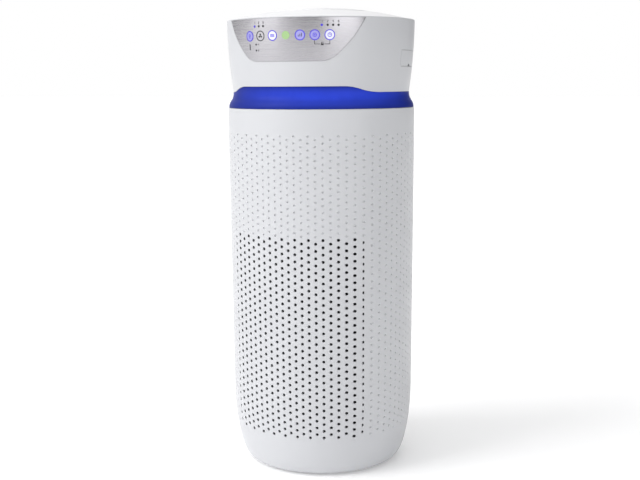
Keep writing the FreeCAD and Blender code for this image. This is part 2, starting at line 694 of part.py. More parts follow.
def base():
    floor = s.foot_gap + s.plate_thick
    disc = rod("base_disc", s.flange_bore + s.plate_rim, s.plate_thick, z=floor)
    holes = base_screw_rods("base_hole", s.screw_radius, floor, BASE_TOP)
    node("base_plate", cut("base_plate", disc, *holes))
    under_heads = s.foot_gap - s.screw_head_height
    heads = base_screw_rods("base_screw_head", s.screw_head_radius, under_heads, s.foot_gap)
    shanks = base_screw_rods("base_screw_shank", s.screw_radius, s.foot_gap, BASE_TOP)
    screws = [fuse(f"base_screw_{i}", head, shank) for i, (head, shank) in enumerate(zip(heads, shanks))]
    node("base_screws", group("base_screws", screws))
    reach = s.pad_circle * math.sqrt(0.5)
    pads = [
        rod(f"rubber_foot_{i}", s.pad_radius, floor, reach * x, reach * y)
        for i, (x, y) in enumerate(((1, 1), (-1, 1), (-1, -1), (1, -1)))
    ]
    node("rubber_feet", group("rubber_feet", pads))
    # The filter stands on a pan turned upside down over the base plate.
    inner = s.seat_leg_radius - s.wall
    under = s.seat_top - s.plate_thick
    points = [
        (inner, BASE_TOP), (s.seat_leg_radius, BASE_TOP), (s.seat_leg_radius, under), (s.seat_radius, under),
        (s.seat_radius, s.seat_top), (ZERO, s.seat_top), (ZERO, under), (inner, under),
    ]
    node("filter_seat", turned("filter_seat", points))
    near = s.filter_radius + s.fit_gap
    rails = []
    for side, (x0, x1) in (("left", (-near - s.rail_width, -near)), ("right", (near, near + s.rail_width))):
        half = s.rail_length / 2
        rails.append(box(f"filter_rail_{side}", x0, x1, -half, half, s.seat_top, s.seat_top + s.rail_height))
    node("filter_rails", group("filter_rails", rails))


def cord_gland():
    """The mains cord's gland, straight out of the back of the foot, with its nut inside."""
    length = s.gland_outer - s.gland_inner
    barrel = rod("gland_barrel", s.gland_radius, length, y=s.gland_inner, z=s.gland_height, along="y")
    flange = rod("gland_flange_disc", s.gland_flange, s.gland_flange_thick, y=s.gland_seat, z=s.gland_height,
                 along="y")
    bore = rod("gland_bore", s.cord_bore, length, y=s.gland_inner, z=s.gland_height, along="y")
    node("cord_gland", cut("cord_gland", fuse("gland_blank", barrel, flange), bore))
    nut = hexagon("gland_nut_blank", s.gland_flange * s.gland_nut_width, s.gland_nut_thick,
                  y=s.gland_inner + s.gland_nut_inset, z=s.gland_height, along="y")
    hole = rod("gland_nut_hole", s.gland_radius, length, y=s.gland_inner, z=s.gland_height, along="y")
    node("gland_nut", cut("gland_nut", nut, hole))


# ---------------------------------------------------------------- filter


def filter_cartridge():
    bottom = s.seat_top + s.fit_gap
    under_cap = s.filter_top - s.cap_thick
    over_cap = bottom + s.cap_thick
    node("filter_bottom_cap", rod("filter_bottom_cap", s.filter_radius, s.cap_thick, z=bottom))
    node("filter_top_cap", tube("filter_top_cap", s.filter_radius, s.core_radius, under_cap, s.filter_top))
    inset = s.gasket_thick
    gasket = tube("filter_gasket", s.filter_radius - inset, s.deck_bore + inset / 2, s.filter_top,
                  s.filter_top + s.gasket_thick)
    node("filter_gasket", gasket)
    carbon_outer = s.core_radius + s.carbon_thick
    node("carbon_sleeve", tube("carbon_sleeve", carbon_outer, s.core_radius, over_cap, under_cap))
    screen_outer = s.filter_radius - s.screen_inset
    screen = tube("prefilter_screen", screen_outer, screen_outer - s.screen_thick, over_cap, under_cap)
    node("prefilter_screen", screen)
    node("hepa_pleats", pleats(over_cap.value, under_cap.value))
    # A flat loop on the top cap to pull the filter out by.
    top = s.filter_top - s.tab_drop
    under = top - s.tab_thick
    half, end = s.tab_half_width, s.filter_radius + s.tab_reach
    strap = box("tab_strap", -half, half, s.tab_inner, end, under, top)
    half, start = s.tab_eye_half_width, s.filter_radius + s.tab_eye_start
    eye = box("tab_eye", -half, half, start, start + s.tab_eye_length, under, top)
    cap = rod("tab_cap", s.filter_radius, s.filter_top)
    node("filter_pull_tab", cut("filter_pull_tab", strap, eye, cap))


def pleats(bottom, top):
    """The pleated sheet: a zigzag between two radii, with a constant radial thickness."""
    count, sheet_thick = int(s.pleat_count.value), s.pleat_sheet.value

    def zigzag(inner, outer):
        spots = []
        for i in range(2 * count):
            angle = math.pi * i / count
            radius = outer if i % 2 else inner
            spots.append(Vector(radius * math.cos(angle), radius * math.sin(angle), bottom))
        return Part.Face(Part.makePolygon(spots + spots[:1]))

    outside = zigzag(s.pleat_inner.value + sheet_thick, s.pleat_outer.value)
    inside = zigzag(s.pleat_inner.value, s.pleat_outer.value - sheet_thick)
    height = Vector(0, 0, top - bottom)
    return shaped("hepa_pleats", outside.extrude(height).cut(inside.extrude(height)))


# ---------------------------------------------------------------- lamp chamber


def lamp_chamber():
    deck_top = s.deck_height + s.plate_thick
    disc = tube("filter_deck_disc", s.ledge_inner + 3, s.deck_bore, s.deck_height, deck_top)
    half = s.pull_half_width + s.sheet_wall + s.pull_room
    back = s.casing_radius - s.wall - s.pull_depth - s.sheet_wall - s.pull_room
    notch = box("filter_deck_notch", -half, half, back, DEEP, s.deck_height, deck_top)
    node("filter_deck", cut("filter_deck", disc, notch))
    chamber = tube("lamp_chamber_wall", s.duct_radius, s.duct_radius - s.sheet_wall, deck_top, s.ledge_top)
    node("lamp_chamber_wall", chamber)
    full, half = s.lamp_half_length * 2, s.lamp_half_length
    glass = rod("lamp_glass", s.lamp_radius, full, x=-half, z=s.lamp_height, along="x")
    gas = rod("lamp_gas", s.lamp_radius - s.lamp_glass_wall, full, x=-half, z=s.lamp_height, along="x")
    node("uv_lamp_tube", cut("uv_lamp_tube", glass, gas))
    caps, holders = [], []
    for side, sign in (("left", -1), ("right", 1)):
        cap_start = half if sign > 0 else -half - s.lamp_cap_length
        cap = (s.lamp_cap_radius, s.lamp_cap_length, cap_start, ZERO, s.lamp_height, "x")
        caps.append(rod(f"lamp_cap_{side}", *cap))
        near, far = s.holder_inner, s.holder_inner + s.holder_depth
        x0, x1 = (near, far) if sign > 0 else (-far, -near)
        wide = s.holder_half_width
        block = box(f"holder_block_{side}", x0, x1, -wide, wide, deck_top, s.lamp_height + s.holder_rise)
        socket = rod(f"holder_socket_{side}", *cap)
        holders.append(cut(f"lamp_holder_{side}", block, socket))
    node("uv_lamp_caps", group("uv_lamp_caps", caps))
    node("uv_lamp_holders", group("uv_lamp_holders", holders))
    # The reflector is a trough under the lamp, from one holder to the other.
    run = (s.holder_inner * 2, -s.holder_inner, ZERO, s.lamp_height, "x")
    outer = rod("reflector_outer", s.reflector_radius + s.reflector_sheet, *run)
    inner = rod("reflector_inner", s.reflector_radius, *run)
    wide = s.reflector_half_width
    upper = box("reflector_upper", -s.holder_inner, s.holder_inner, -wide, wide,
                s.lamp_height - s.reflector_drop, s.lamp_height + wide)
    node("uv_reflector", cut("uv_reflector", outer, inner, upper))
    long = s.ballast_half_length
    ballast = box("uv_ballast", -s.ballast_outer, -s.duct_radius - s.ballast_gap, -long, long, deck_top,
                  deck_top + s.ballast_height)
    node("uv_ballast", ballast)


# ---------------------------------------------------------------- fan and motor


def fan():
    ring_top = s.ledge_top + s.plate_thick
    lip = s.inlet_bore + s.sheet_wall
    edge, neck = s.inlet_lip, s.wheel_bottom - s.inlet_top_gap
    outer = s.casing_radius - s.wall - s.inlet_ring_gap
    points = [
        (s.inlet_bore + edge, s.ledge_top), (outer, s.ledge_top), (outer, ring_top), (lip + edge, ring_top),
        (lip, ring_top + edge), (lip, neck), (s.inlet_bore, neck), (s.inlet_bore, s.ledge_top + edge),
    ]
    node("fan_inlet_ring", turned("fan_inlet_ring", points))
    housing_inner = s.housing_radius - s.housing_wall
    node("fan_housing", tube("fan_housing", s.housing_radius, housing_inner, ring_top, s.housing_top))
    wheel_top = s.wheel_bottom + s.wheel_height
    node("fan_wheel", fan_wheel(wheel_top))
    hub_bottom = wheel_top - s.hub_drop
    shaft_bottom = hub_bottom - s.shaft_below_hub
    shaft_top = s.motor_top - s.shaft_below_lid
    node("motor_shaft", rod("motor_shaft", s.shaft_radius, shaft_top - shaft_bottom, z=shaft_bottom))
    high = s.wheel_nut_height
    nut = hexagon("wheel_nut_blank", s.wheel_nut_width, high, z=hub_bottom - high)
    thread = rod("wheel_nut_thread", s.shaft_radius, high, z=hub_bottom - high)
    node("wheel_nut", cut("wheel_nut", nut, thread))


# a blade's ends are cut off square to its curve: how far the cut runs back and aside, in blade thicknesses
TIP_BACK, TIP_ASIDE, ROOT_BACK = 0.85, 0.55, 0.25


def fan_wheel(top):
    """A centrifugal wheel: top disc with its hub, backward-curved blades and a lower shroud ring."""
    body = doc.addObject("PartDesign::Body", "fan_wheel")
    profile = sketch_in(body, "wheel_profile", "XZ_Plane")
    hub_bottom = top - s.hub_drop
    outline(profile, [
        (s.shaft_radius, hub_bottom), (s.hub_radius, hub_bottom),
        (s.hub_radius + s.hub_flare, top - s.wheel_plate),
        (s.wheel_radius, top - s.wheel_plate), (s.wheel_radius, top), (s.shaft_radius, top),
    ])
    disc = body.newObject("PartDesign::Revolution", "wheel_disc")
    disc.Profile = profile
    disc.ReferenceAxis = (profile, ["V_Axis"])
    disc.Angle = 360
    # A blade runs from the eye to the rim and trails behind the turn.
    root_radius, tip_radius = s.wheel_eye - s.blade_root_inset, s.wheel_radius - s.blade_tip_inset
    sweep = s.blade_sweep
    tip_x, tip_y = tip_radius * cosine(sweep), tip_radius * sine(sweep)
    blade = sketch_in(body, "blade_outline", "XY_Plane", lift=s.wheel_bottom + s.wheel_plate)
    outline(blade, [
        (root_radius, ZERO), (tip_x, tip_y),
        (tip_x - s.blade_thick * TIP_BACK, tip_y + s.blade_thick * TIP_ASIDE),
        (root_radius - s.blade_thick * ROOT_BACK, s.blade_thick),
    ], {0: (s.blade_outer_bend, 1), 2: (s.blade_inner_bend, -1)})
    pad(body, "blade", blade, s.wheel_height - s.wheel_plate * 2)
    blade_feature = body.Tip
    pattern = body.newObject("PartDesign::PolarPattern", "blades")
    pattern.Originals = [blade_feature]
    pattern.Axis = (next(f for f in body.Origin.OriginFeatures if f.Role == "Z_Axis"), [""])
    pattern.Angle = 360
    bind(pattern, Occurrences=s.blade_count)
    body.Tip = pattern
    ring = sketch_in(body, "shroud_outline", "XY_Plane", lift=s.wheel_bottom)
    circle(ring, s.wheel_radius)
    circle(ring, s.wheel_eye)
    pad(body, "shroud", ring, s.wheel_plate)
    return body


MOUNT_RADIUS = s.housing_radius - s.housing_wall - s.fit_gap / 2  # the motor mount drops into the fan housing


def motor():
    case_wall = s.sheet_wall
    bearing_outer, bearing_high = s.bearing_radius, s.bearing_height
    free = s.shaft_radius + s.shaft_play
    bottom, top = s.motor_bottom, s.motor_top
    lid = top - case_wall
    pocket = bearing_high - case_wall
    points = [
        (bearing_outer, bottom), (s.motor_radius, bottom), (s.motor_radius, top), (ZERO, top), (ZERO, lid),
        (s.motor_radius - case_wall, lid), (s.motor_radius - case_wall, bottom + case_wall),
        (bearing_outer, bottom + case_wall),
    ]
    node("motor_case", turned("motor_case", points))
    lower = tube("bearing_lower", bearing_outer, free, bottom, bottom + bearing_high)
    upper = tube("bearing_upper", bearing_outer, free, lid - bearing_high, lid)
    node("motor_bearings", group("motor_bearings", [lower, upper]))
    low = bottom + case_wall + pocket + s.winding_gap_low
    high = lid - pocket - s.winding_gap_high
    node("motor_rotor", tube("motor_rotor", s.rotor_radius, s.shaft_radius, low, high))
    stator_outer = s.motor_radius - case_wall
    node("motor_stator", tube("motor_stator", stator_outer, s.rotor_radius + s.air_gap, low, high))
    # The mount is a hub disc, a rim inside the fan housing and arms between them.
    rim_outer = MOUNT_RADIUS
    rim_inner = rim_outer - s.mount_rim
    thick = s.housing_top - s.motor_top
    hub = rod("mount_hub", s.motor_radius + s.mount_hub_rim, thick, z=s.motor_top)
    rim = tube("mount_rim", rim_outer, rim_inner, s.motor_top, s.housing_top)
    arms = doc.addObject("PartDesign::Body", "mount_arms_body")
    arm = sketch_in(arms, "arm_outline", "XY_Plane", lift=s.motor_top)
    inner_end, outer_end = s.motor_radius, rim_inner + s.mount_arm_overlap
    half = s.mount_arm_half_width
    outline(arm, [(inner_end, -half), (outer_end, -half), (outer_end, half), (inner_end, half)])
    first = pad(arms, "mount_arm", arm, thick)
    others = arms.newObject("PartDesign::PolarPattern", "mount_arm_pattern")
    others.Originals = [first]
    others.Axis = (next(f for f in arms.Origin.OriginFeatures if f.Role == "Z_Axis"), [""])
    others.Angle = 360
    bind(others, Occurrences=s.mount_arms)
    arms.Tip = others
    node("motor_mount", cut("motor_mount", fuse("mount_blank", hub, rim, arms),
                            *mount_screw_rods("mount_hole", s.screw_radius, s.motor_top, s.housing_top)))


def mount_screw_rods(name, radius, bottom, top):
    """Rods on the rim of the motor mount, midway between its arms."""
    count = int(s.mount_arms.value)
    reach = MOUNT_RADIUS - s.mount_screw_inset
    made = []
    for i in range(count):
        angle = math.radians(360 * (i + 0.5) / count)
        x, y = reach * math.cos(angle), reach * math.sin(angle)
        made.append(rod(f"{name}_{i}", radius, top - bottom, x, y, bottom))
    return made


# ---------------------------------------------------------------- head


DUCT_FLANGE_TOP = s.housing_top + s.plate_thick


def outlet_duct():
    inner = s.outlet_radius - s.sheet_wall
    flange = s.casing_radius - s.wall - s.flange_gap
    points = [
        (inner, s.housing_top), (flange, s.housing_top), (flange, DUCT_FLANGE_TOP),
        (s.outlet_radius, DUCT_FLANGE_TOP), (s.outlet_radius, s.outlet_top), (inner, s.outlet_top),
    ]
    blank = turned("outlet_duct_blank", points)
    holes = mount_screw_rods("duct_hole", s.screw_radius, s.housing_top, DUCT_FLANGE_TOP)
    pins = needle_rods("needle_hole", s.needle_hole, s.outlet_radius - s.needle_hole_in,
                       s.outlet_radius + s.needle_hole_out)
    node("outlet_duct", cut("outlet_duct", blank, *holes, *pins))
    heads = mount_screw_rods("mount_screw_head", s.screw_head_radius, DUCT_FLANGE_TOP,
                             DUCT_FLANGE_TOP + s.screw_head_height)
    shanks = mount_screw_rods("mount_screw_shank", s.screw_radius, s.motor_top, DUCT_FLANGE_TOP)
    screws = [fuse(f"mount_screw_{i}", head, shank) for i, (head, shank) in enumerate(zip(heads, shanks))]
    node("mount_screws", group("mount_screws", screws))


def head_radius(height, inset=0):
    """Outer radius of the head at a height, less an inset: a point on its long upright curve."""
    curve = s.head_curve - inset
    rise = s.head_max_height - height
    return s.head_max_radius - s.head_curve + root(curve * curve - rise * rise)


def head_layer(name, outer_inset, inner_inset, bottom, top):
    """A turned layer of the head's wall between two insets from its outer face, or solid within one."""
    outer_inset = sized(outer_inset)
    points = [(head_radius(bottom, outer_inset), bottom), (head_radius(top, outer_inset), top)]
    arcs = {0: (s.head_curve - outer_inset, 1)}
    if inner_inset is None:
        return turned(name, points + [(ZERO, top), (ZERO, bottom)], arcs)
    inner_inset = sized(inner_inset)
    points += [(head_radius(top, inner_inset), top), (head_radius(bottom, inner_inset), bottom)]
    arcs[2] = (s.head_curve - inner_inset, -1)
    return turned(name, points, arcs)


HEAD_START = s.head_edge_low - 6  # the head is turned from here and then trimmed to its edge


def below_edge(name):
    """All that lies below the head's lower edge, which rises in two soft steps to a plateau at the front."""
    lower = box(name + "_lower", -DEEP, DEEP, -DEEP, DEEP, s.housing_top, s.head_edge_low)
    half_run = (s.edge_sweep_half - s.edge_flat_half) / 2
    half_rise = (s.head_edge_high - s.head_edge_low) / 2
    radius = (half_run * half_run + half_rise * half_rise) / (2 * half_rise)
    middle_x, middle_z = s.edge_flat_half + half_run, s.head_edge_low + half_rise
    foot = s.head_edge_low - 10
    points = [
        (-s.edge_sweep_half, foot), (s.edge_sweep_half, foot), (s.edge_sweep_half, s.head_edge_low),
        (middle_x, middle_z), (s.edge_flat_half, s.head_edge_high), (-s.edge_flat_half, s.head_edge_high),
        (-middle_x, middle_z), (-s.edge_sweep_half, s.head_edge_low),
    ]
    arcs = {2: (radius, -1), 3: (radius, 1), 5: (radius, 1), 6: (radius, -1)}
    return fuse(name, lower, prism(name + "_front", points, arcs, DEEP))


def light_ring():
    """The light ring: an S-shaped flare from the casing up to a waist, and a collar inside the head."""
    half_step = (s.ring_foot_radius - s.ring_radius) / 2
    half_rise = (s.ring_waist - s.casing_top) / 2
    bend = (half_step * half_step + half_rise * half_rise) / (2 * half_step)
    collar_inner = s.collar_radius - s.collar_wall
    step = s.casing_radius - s.wall - s.flange_gap
    points = [
        (collar_inner, DUCT_FLANGE_TOP), (step, DUCT_FLANGE_TOP), (step, s.casing_top),
        (s.ring_foot_radius, s.casing_top), (s.ring_radius + half_step, s.casing_top + half_rise),
        (s.ring_radius, s.ring_waist), (s.ring_radius, s.head_edge_high + 1),
        (collar_inner, s.head_edge_high + 1),
    ]
    full = turned("ring_full", points, {3: (bend, 1), 4: (bend, -1)})
    shown = common("ring_shown", full, below_edge("ring_trim"))
    collar = tube("ring_collar", s.collar_radius, collar_inner, DUCT_FLANGE_TOP, s.collar_top)
    node("light_ring", fuse("light_ring", shown, collar))
    strip = collar_inner - 0.2
    node("ring_led_strip", tube("ring_led_strip", strip, strip - 1.2, DUCT_FLANGE_TOP, s.ring_waist))


def panel_outline(inset):
    """The panel as seen from the front: a straight lower edge, round corners and sloping sides."""
    slope = s.panel_slope
    radius = s.panel_corner - inset
    centre = s.panel_bottom + s.panel_corner
    corner_x = s.panel_flat_half + radius * sine(slope)
    corner_z = centre - radius * cosine(slope)
    top = s.panel_top - inset
    top_x = corner_x + (top - corner_z) * cosine(slope) / sine(slope)
    bottom = s.panel_bottom + inset
    points = [
        (-s.panel_flat_half, bottom), (s.panel_flat_half, bottom), (corner_x, corner_z), (top_x, top),
        (-top_x, top), (-corner_x, corner_z),
    ]
    return points, {1: (radius, 1), 5: (radius, 1)}


def tray_box(name, margin, start, end=None):
    """The space of the aroma tray, with a margin all round, from start outwards."""
    half = s.tray_half_width + margin
    top = s.tray_bottom + s.tray_height + margin
    return box(name, start, DEEP if end is None else end, -half, half, s.tray_bottom - margin, top)


def grip_box(name, margin, start):
    half = s.grip_half_width + margin
    top = s.grip_bottom + s.grip_height + margin
    return box(name, -half, half, start, DEEP, s.grip_bottom - margin, top)


def head():
    wall = head_layer("head_wall", 0, s.wall, HEAD_START, s.head_top)
    pocket_layer = head_layer("panel_pocket_layer", -s.layer_margin, s.panel_thick,
                              s.panel_bottom - s.layer_margin, s.head_top)
    pocket = common("panel_pocket", pocket_layer, prism("pocket_outline", *panel_outline(ZERO), DEEP))
    window = box("panel_window", -s.panel_window_half, s.panel_window_half, -DEEP, ZERO,
                 s.panel_bottom + s.window_above_edge, s.panel_top - s.window_below_edge)
    trimmed = cut("head_trimmed", wall, below_edge("head_edge"), pocket, window,
                  tray_box("tray_window", s.fit_gap, ZERO), grip_box("grip_window", ZERO, ZERO))
    ledge_top = s.head_top - s.rim_depth
    ledge_skin = (s.wall + s.panel_thick) / 2
    ledge_bottom = ledge_top - s.plate_thick
    ledge_blank = tube("rim_ledge_blank", s.head_max_radius, s.ledge_inner, ledge_bottom, ledge_top)
    ledge_trim = head_layer("rim_ledge_trim", ledge_skin, None, HEAD_START, s.head_top)
    ledge = common("rim_ledge", ledge_blank, ledge_trim)
    node("head_shell", fuse("head_shell", trimmed, ledge))
    panel_layer = head_layer("panel_layer", 0, s.panel_thick, s.panel_bottom - s.layer_margin, s.head_top)
    node("control_panel", common("control_panel", panel_layer,
                                 prism("panel_edge", *panel_outline(s.panel_gap), DEEP)))


def outlet_grille():
    """A shallow dome with round slots over the outlet duct."""
    rim = s.head_max_radius - s.wall - s.fit_gap - 0.2
    rise, wall = s.dome_rise, s.dome_wall
    radius = (rim * rim + rise * rise) / (2 * rise)
    top = s.head_top + rise
    ledge_top = s.head_top - s.rim_depth
    skirt = rim - s.dome_skirt
    inner_radius = radius - wall
    centre = top - radius
    inner_edge = centre + root(inner_radius * inner_radius - skirt * skirt)
    points = [
        (ZERO, top - wall), (skirt, inner_edge), (skirt, ledge_top), (rim, ledge_top), (rim, s.head_top),
        (ZERO, top),
    ]
    dome = turned("dome", points, {0: (inner_radius, -1), 4: (radius, 1)})
    node("outlet_grille", cut("outlet_grille", dome, shaped("outlet_slots", ring_slots())))


def ring_slots():
    """Upright cutters for the round slots through the dome, left whole where the spokes cross them."""
    low, high = s.head_top.value, s.dome_rise.value * 2
    count = int(s.spoke_count.value)
    reach, width = s.head_max_radius.value, s.spoke_width.value
    spokes = []
    for i in range(count):
        spoke = Part.makeBox(reach, width, high, Vector(0, -width / 2, low))
        spoke.rotate(Vector(0, 0, 0), Vector(0, 0, 1), 360 * i / count)
        spokes.append(spoke)
    slots = []
    for i in range(int(s.slot_rings.value)):
        inner = s.slot_inner.value + i * s.slot_pitch.value
        ring = Part.makeCylinder(inner + s.slot_width.value, high, Vector(0, 0, low))
        ring = ring.cut(Part.makeCylinder(inner, high, Vector(0, 0, low)))
        slots.extend(ring.cut(Part.makeCompound(spokes)).Solids)
    return Part.makeCompound(slots)


KEYS_EACH_SIDE = 3  # touch keys on each side of the middle one


def control_electronics():
    """The control board on its bracket, with one light guide for each touch key."""
    face, thick = s.board_face, s.board_thick
    half = s.panel_window_half - s.board_margin
    low, high = s.key_height - s.board_below_keys, s.key_height + s.board_above_keys
    node("control_board", box("control_board", -half, half, -face, -face + thick, low, high))
    back = -face + thick
    behind_plate, thin = back + s.bracket_thick, s.leg_half_width
    plate = box("bracket_plate", -half, half, back, behind_plate, low, high)
    legs = [
        box(f"bracket_leg_{i}", middle - thin, middle + thin, behind_plate, -s.leg_inner, low, high)
        for i, middle in enumerate((-s.leg_spread, s.leg_spread))
    ]
    duct = rod("bracket_duct", s.outlet_radius, s.head_top)
    node("board_bracket", cut("board_bracket", fuse("bracket_blank", plate, *legs), duct))
    behind = head_layer("guide_trim", s.panel_thick + s.fit_gap, None, s.panel_bottom - s.layer_margin,
                        s.head_top)
    guides = []
    for i in range(-KEYS_EACH_SIDE, KEYS_EACH_SIDE + 1):
        across = head_radius(s.key_height) * sine(s.key_pitch * i) if i else ZERO
        number = i + KEYS_EACH_SIDE
        guide = rod(f"guide_rod_{number}", s.key_radius, s.casing_radius - face, across, -face, s.key_height)
        guide.Placement = Placement(Vector(0, 0, 0), Rotation(Vector(1, 0, 0), 90))
        guides.append(common(f"guide_{number}", guide, behind))
    node("touch_light_guides", group("touch_light_guides", guides))


# component: depth, left and right across the board, bottom and top above its lower edge
BLOCKS = {"transformer": (20, -24, 2, 6, 28), "relay": (14, 10, 22, 8, 26)}
CAPACITORS = ((-16, 40), (-2, 40), (12, 42))  # across the board, and above its lower edge


def power_electronics():
    """The power board on the left of the outlet duct, with its larger components."""
    near = s.outlet_radius + s.power_gap
    low, half, thin = s.power_bottom, s.power_half_width, s.leg_half_width
    high = low + s.power_height
    board = box("power_board", -near - s.board_thick, -near, -half, half, low, high)
    node("power_board", board)
    ribs = [
        box(f"power_rib_{i}", -near, -s.rib_inner, middle - thin, middle + thin, low, high)
        for i, middle in enumerate((-s.rib_spread, s.rib_spread))
    ]
    duct = rod("power_duct", s.outlet_radius, s.head_top)
    trimmed = [cut(f"power_rib_cut_{i}", rib, duct) for i, rib in enumerate(ribs)]
    node("power_bracket", group("power_bracket", trimmed))
    face = -near - s.board_thick
    blocks = [
        box(name, face - depth, face, sized(left), sized(right), low + bottom, low + top)
        for name, (depth, left, right, bottom, top) in BLOCKS.items()
    ]
    long = s.capacitor_length
    drums = [
        rod(f"capacitor_{i}", s.capacitor_radius, long, face - long, sized(y), low + z, along="x")
        for i, (y, z) in enumerate(CAPACITORS)
    ]
    node("power_components", group("power_components", blocks + drums))


NEEDLE_WAY = (-0.5, math.sqrt(0.75))  # outwards, from the axis to the needles


def needle_rods(name, radius, near, far):
    """Two level rods through the outlet duct's wall at the back left, side by side."""
    made = []
    lowest = s.ioniser_bottom + s.needle_start
    for i, height in enumerate((lowest, lowest + s.needle_pitch)):
        pin = bind(doc.addObject("Part::Cylinder", f"{name}_{i}"), Radius=radius, Height=far - near)
        turn = Rotation(Vector(*NEEDLE_WAY, 0), Vector(0, 0, 1)).inverted()
        made.append(place(pin, near * NEEDLE_WAY[0], near * NEEDLE_WAY[1], height, turn))
    return made


def ioniser():
    bottom = s.ioniser_bottom
    block = box("ioniser_block", -s.ioniser_left, -s.ioniser_right, s.ioniser_near, s.ioniser_far, bottom,
                bottom + s.ioniser_height)
    duct = rod("ioniser_duct", s.outlet_radius, s.head_top)
    node("ioniser_module", cut("ioniser_module", block, duct))
    needles = needle_rods("needle", s.needle_radius, s.outlet_radius - s.needle_length, s.outlet_radius)
    node("ioniser_needles", group("ioniser_needles", needles))


def aroma_tray():
    """The scent-pad tray on the right: it slides out along +X in a sleeve behind the head's wall."""
    face = head_layer("tray_face", 0, None, s.tray_bottom - s.layer_margin, s.grip_bottom + s.head_reach)
    blank = common("tray_blank", tray_box("tray_solid", ZERO, s.tray_back), face)
    wall, half = s.tray_wall, s.tray_half_width
    front = head_radius(s.tray_bottom + s.tray_height / 2) - s.tray_front_wall - s.tray_front_extra
    floor = s.tray_bottom + s.tray_floor
    well = box("tray_well", s.tray_back + wall, front, -half + wall, half - wall, floor,
               s.tray_bottom + s.tray_height)
    notch = rod("tray_notch", s.notch_half, DEEP, x=s.tray_back + s.tray_height, z=s.tray_bottom - s.notch_drop,
                along="x")
    node("aroma_tray", cut("aroma_tray", blank, well, notch))
    inset = wall + s.fit_gap
    node("aroma_pad", box("aroma_pad", s.tray_back + inset, front - s.fit_gap, -half + inset, half - inset,
                          floor, floor + s.pad_height))
    end = s.tray_back - s.sleeve_room
    outer = tray_box("sleeve_outer", s.fit_gap + s.sleeve_wall, end - s.sleeve_wall)
    inner = tray_box("sleeve_inner", s.fit_gap, end)
    inside = head_layer("sleeve_trim", s.wall, None, s.tray_bottom - s.sleeve_margin,
                        s.grip_bottom + s.head_reach)
    node("tray_sleeve", common("tray_sleeve", cut("sleeve_walls", outer, inner), inside))


def carry_handle():
    """The hand recess at the back of the head: a cup behind the window."""
    wall = s.grip_wall
    outer = grip_box("grip_outer", wall, s.grip_back - wall)
    cup = cut("grip_walls", outer, grip_box("grip_inner", ZERO, s.grip_back))
    inside = head_layer("grip_trim", s.wall, None, s.grip_bottom - s.grip_margin, s.grip_bottom + s.grip_above)
    node("carry_handle", common("carry_handle", cup, inside))


# ---------------------------------------------------------------- build and export


def build():
    """Makes every sub-part in turn, then recomputes the whole document once."""
    shell = casing_shell("casing_shell")
    casing(shell)
    grille("front_grille", shell, s.hole_columns, s.hole_rows, FIELD_HALF, FIELD_TOP, -1)
    grille("door_grille", shell, s.door_hole_columns, s.door_hole_rows, DOOR_FIELD_HALF, DOOR_FIELD_TOP, 1)
    filter_door(shell)
    door_magnets()
    base()
    cord_gland()
    filter_cartridge()
    lamp_chamber()
    fan()
    motor()
    outlet_duct()
    light_ring()
    head()
    outlet_grille()
    control_electronics()
    power_electronics()
    ioniser()
    aroma_tray()
    carry_handle()
    doc.recompute()


def check():
    """Stops the build if any object failed, or a node has no sound solid."""
    for thing in doc.Objects:
        if "Invalid" in thing.State or "Error" in thing.State:
            raise RuntimeError(f"{thing.Name} failed: {thing.State}")
    for name, thing in nodes.items():
        shape = thing.Shape
        if shape.isNull() or not shape.isValid() or not shape.Solids:
            raise RuntimeError(f"node {name} has no valid solid")
        print(f"{name:22s} {len(shape.Solids):3d} solids {shape.Volume / 1000:10.2f} cm3")


def export():
    os.makedirs("parts", exist_ok=True)
    for name, thing in nodes.items():
        thing.Shape.exportStep(f"parts/{name}.step")


build()
check()
export()
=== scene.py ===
import math

import bmesh
import bpy
from mathutils import Matrix, Vector


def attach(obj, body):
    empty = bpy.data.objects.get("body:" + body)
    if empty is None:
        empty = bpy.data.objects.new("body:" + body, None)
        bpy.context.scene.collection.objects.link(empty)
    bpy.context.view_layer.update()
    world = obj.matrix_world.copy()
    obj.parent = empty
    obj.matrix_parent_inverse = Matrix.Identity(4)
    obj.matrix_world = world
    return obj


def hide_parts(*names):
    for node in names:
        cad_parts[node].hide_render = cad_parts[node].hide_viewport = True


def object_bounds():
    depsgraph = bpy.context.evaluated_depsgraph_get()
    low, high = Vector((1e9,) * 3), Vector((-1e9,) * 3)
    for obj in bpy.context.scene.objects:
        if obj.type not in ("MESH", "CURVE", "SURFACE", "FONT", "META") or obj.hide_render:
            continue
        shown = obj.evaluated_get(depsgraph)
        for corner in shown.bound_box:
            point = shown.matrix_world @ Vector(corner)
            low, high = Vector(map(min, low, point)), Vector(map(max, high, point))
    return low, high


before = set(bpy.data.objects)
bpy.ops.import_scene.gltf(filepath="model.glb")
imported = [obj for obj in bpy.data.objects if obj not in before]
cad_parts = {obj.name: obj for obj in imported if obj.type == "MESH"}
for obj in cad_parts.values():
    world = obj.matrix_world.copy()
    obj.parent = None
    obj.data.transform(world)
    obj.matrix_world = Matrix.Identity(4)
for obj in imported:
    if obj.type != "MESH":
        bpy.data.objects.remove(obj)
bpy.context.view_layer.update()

upright = Matrix.Rotation(math.pi / 2, 4, "X")  # stands a flat shape up, facing the front
mm = 0.001  # shapes are made in millimetres and put in metres last
mergeGap = 0.002


# ---- making pieces

def allOf(bm):
    return bm.verts[:] + bm.edges[:] + bm.faces[:]


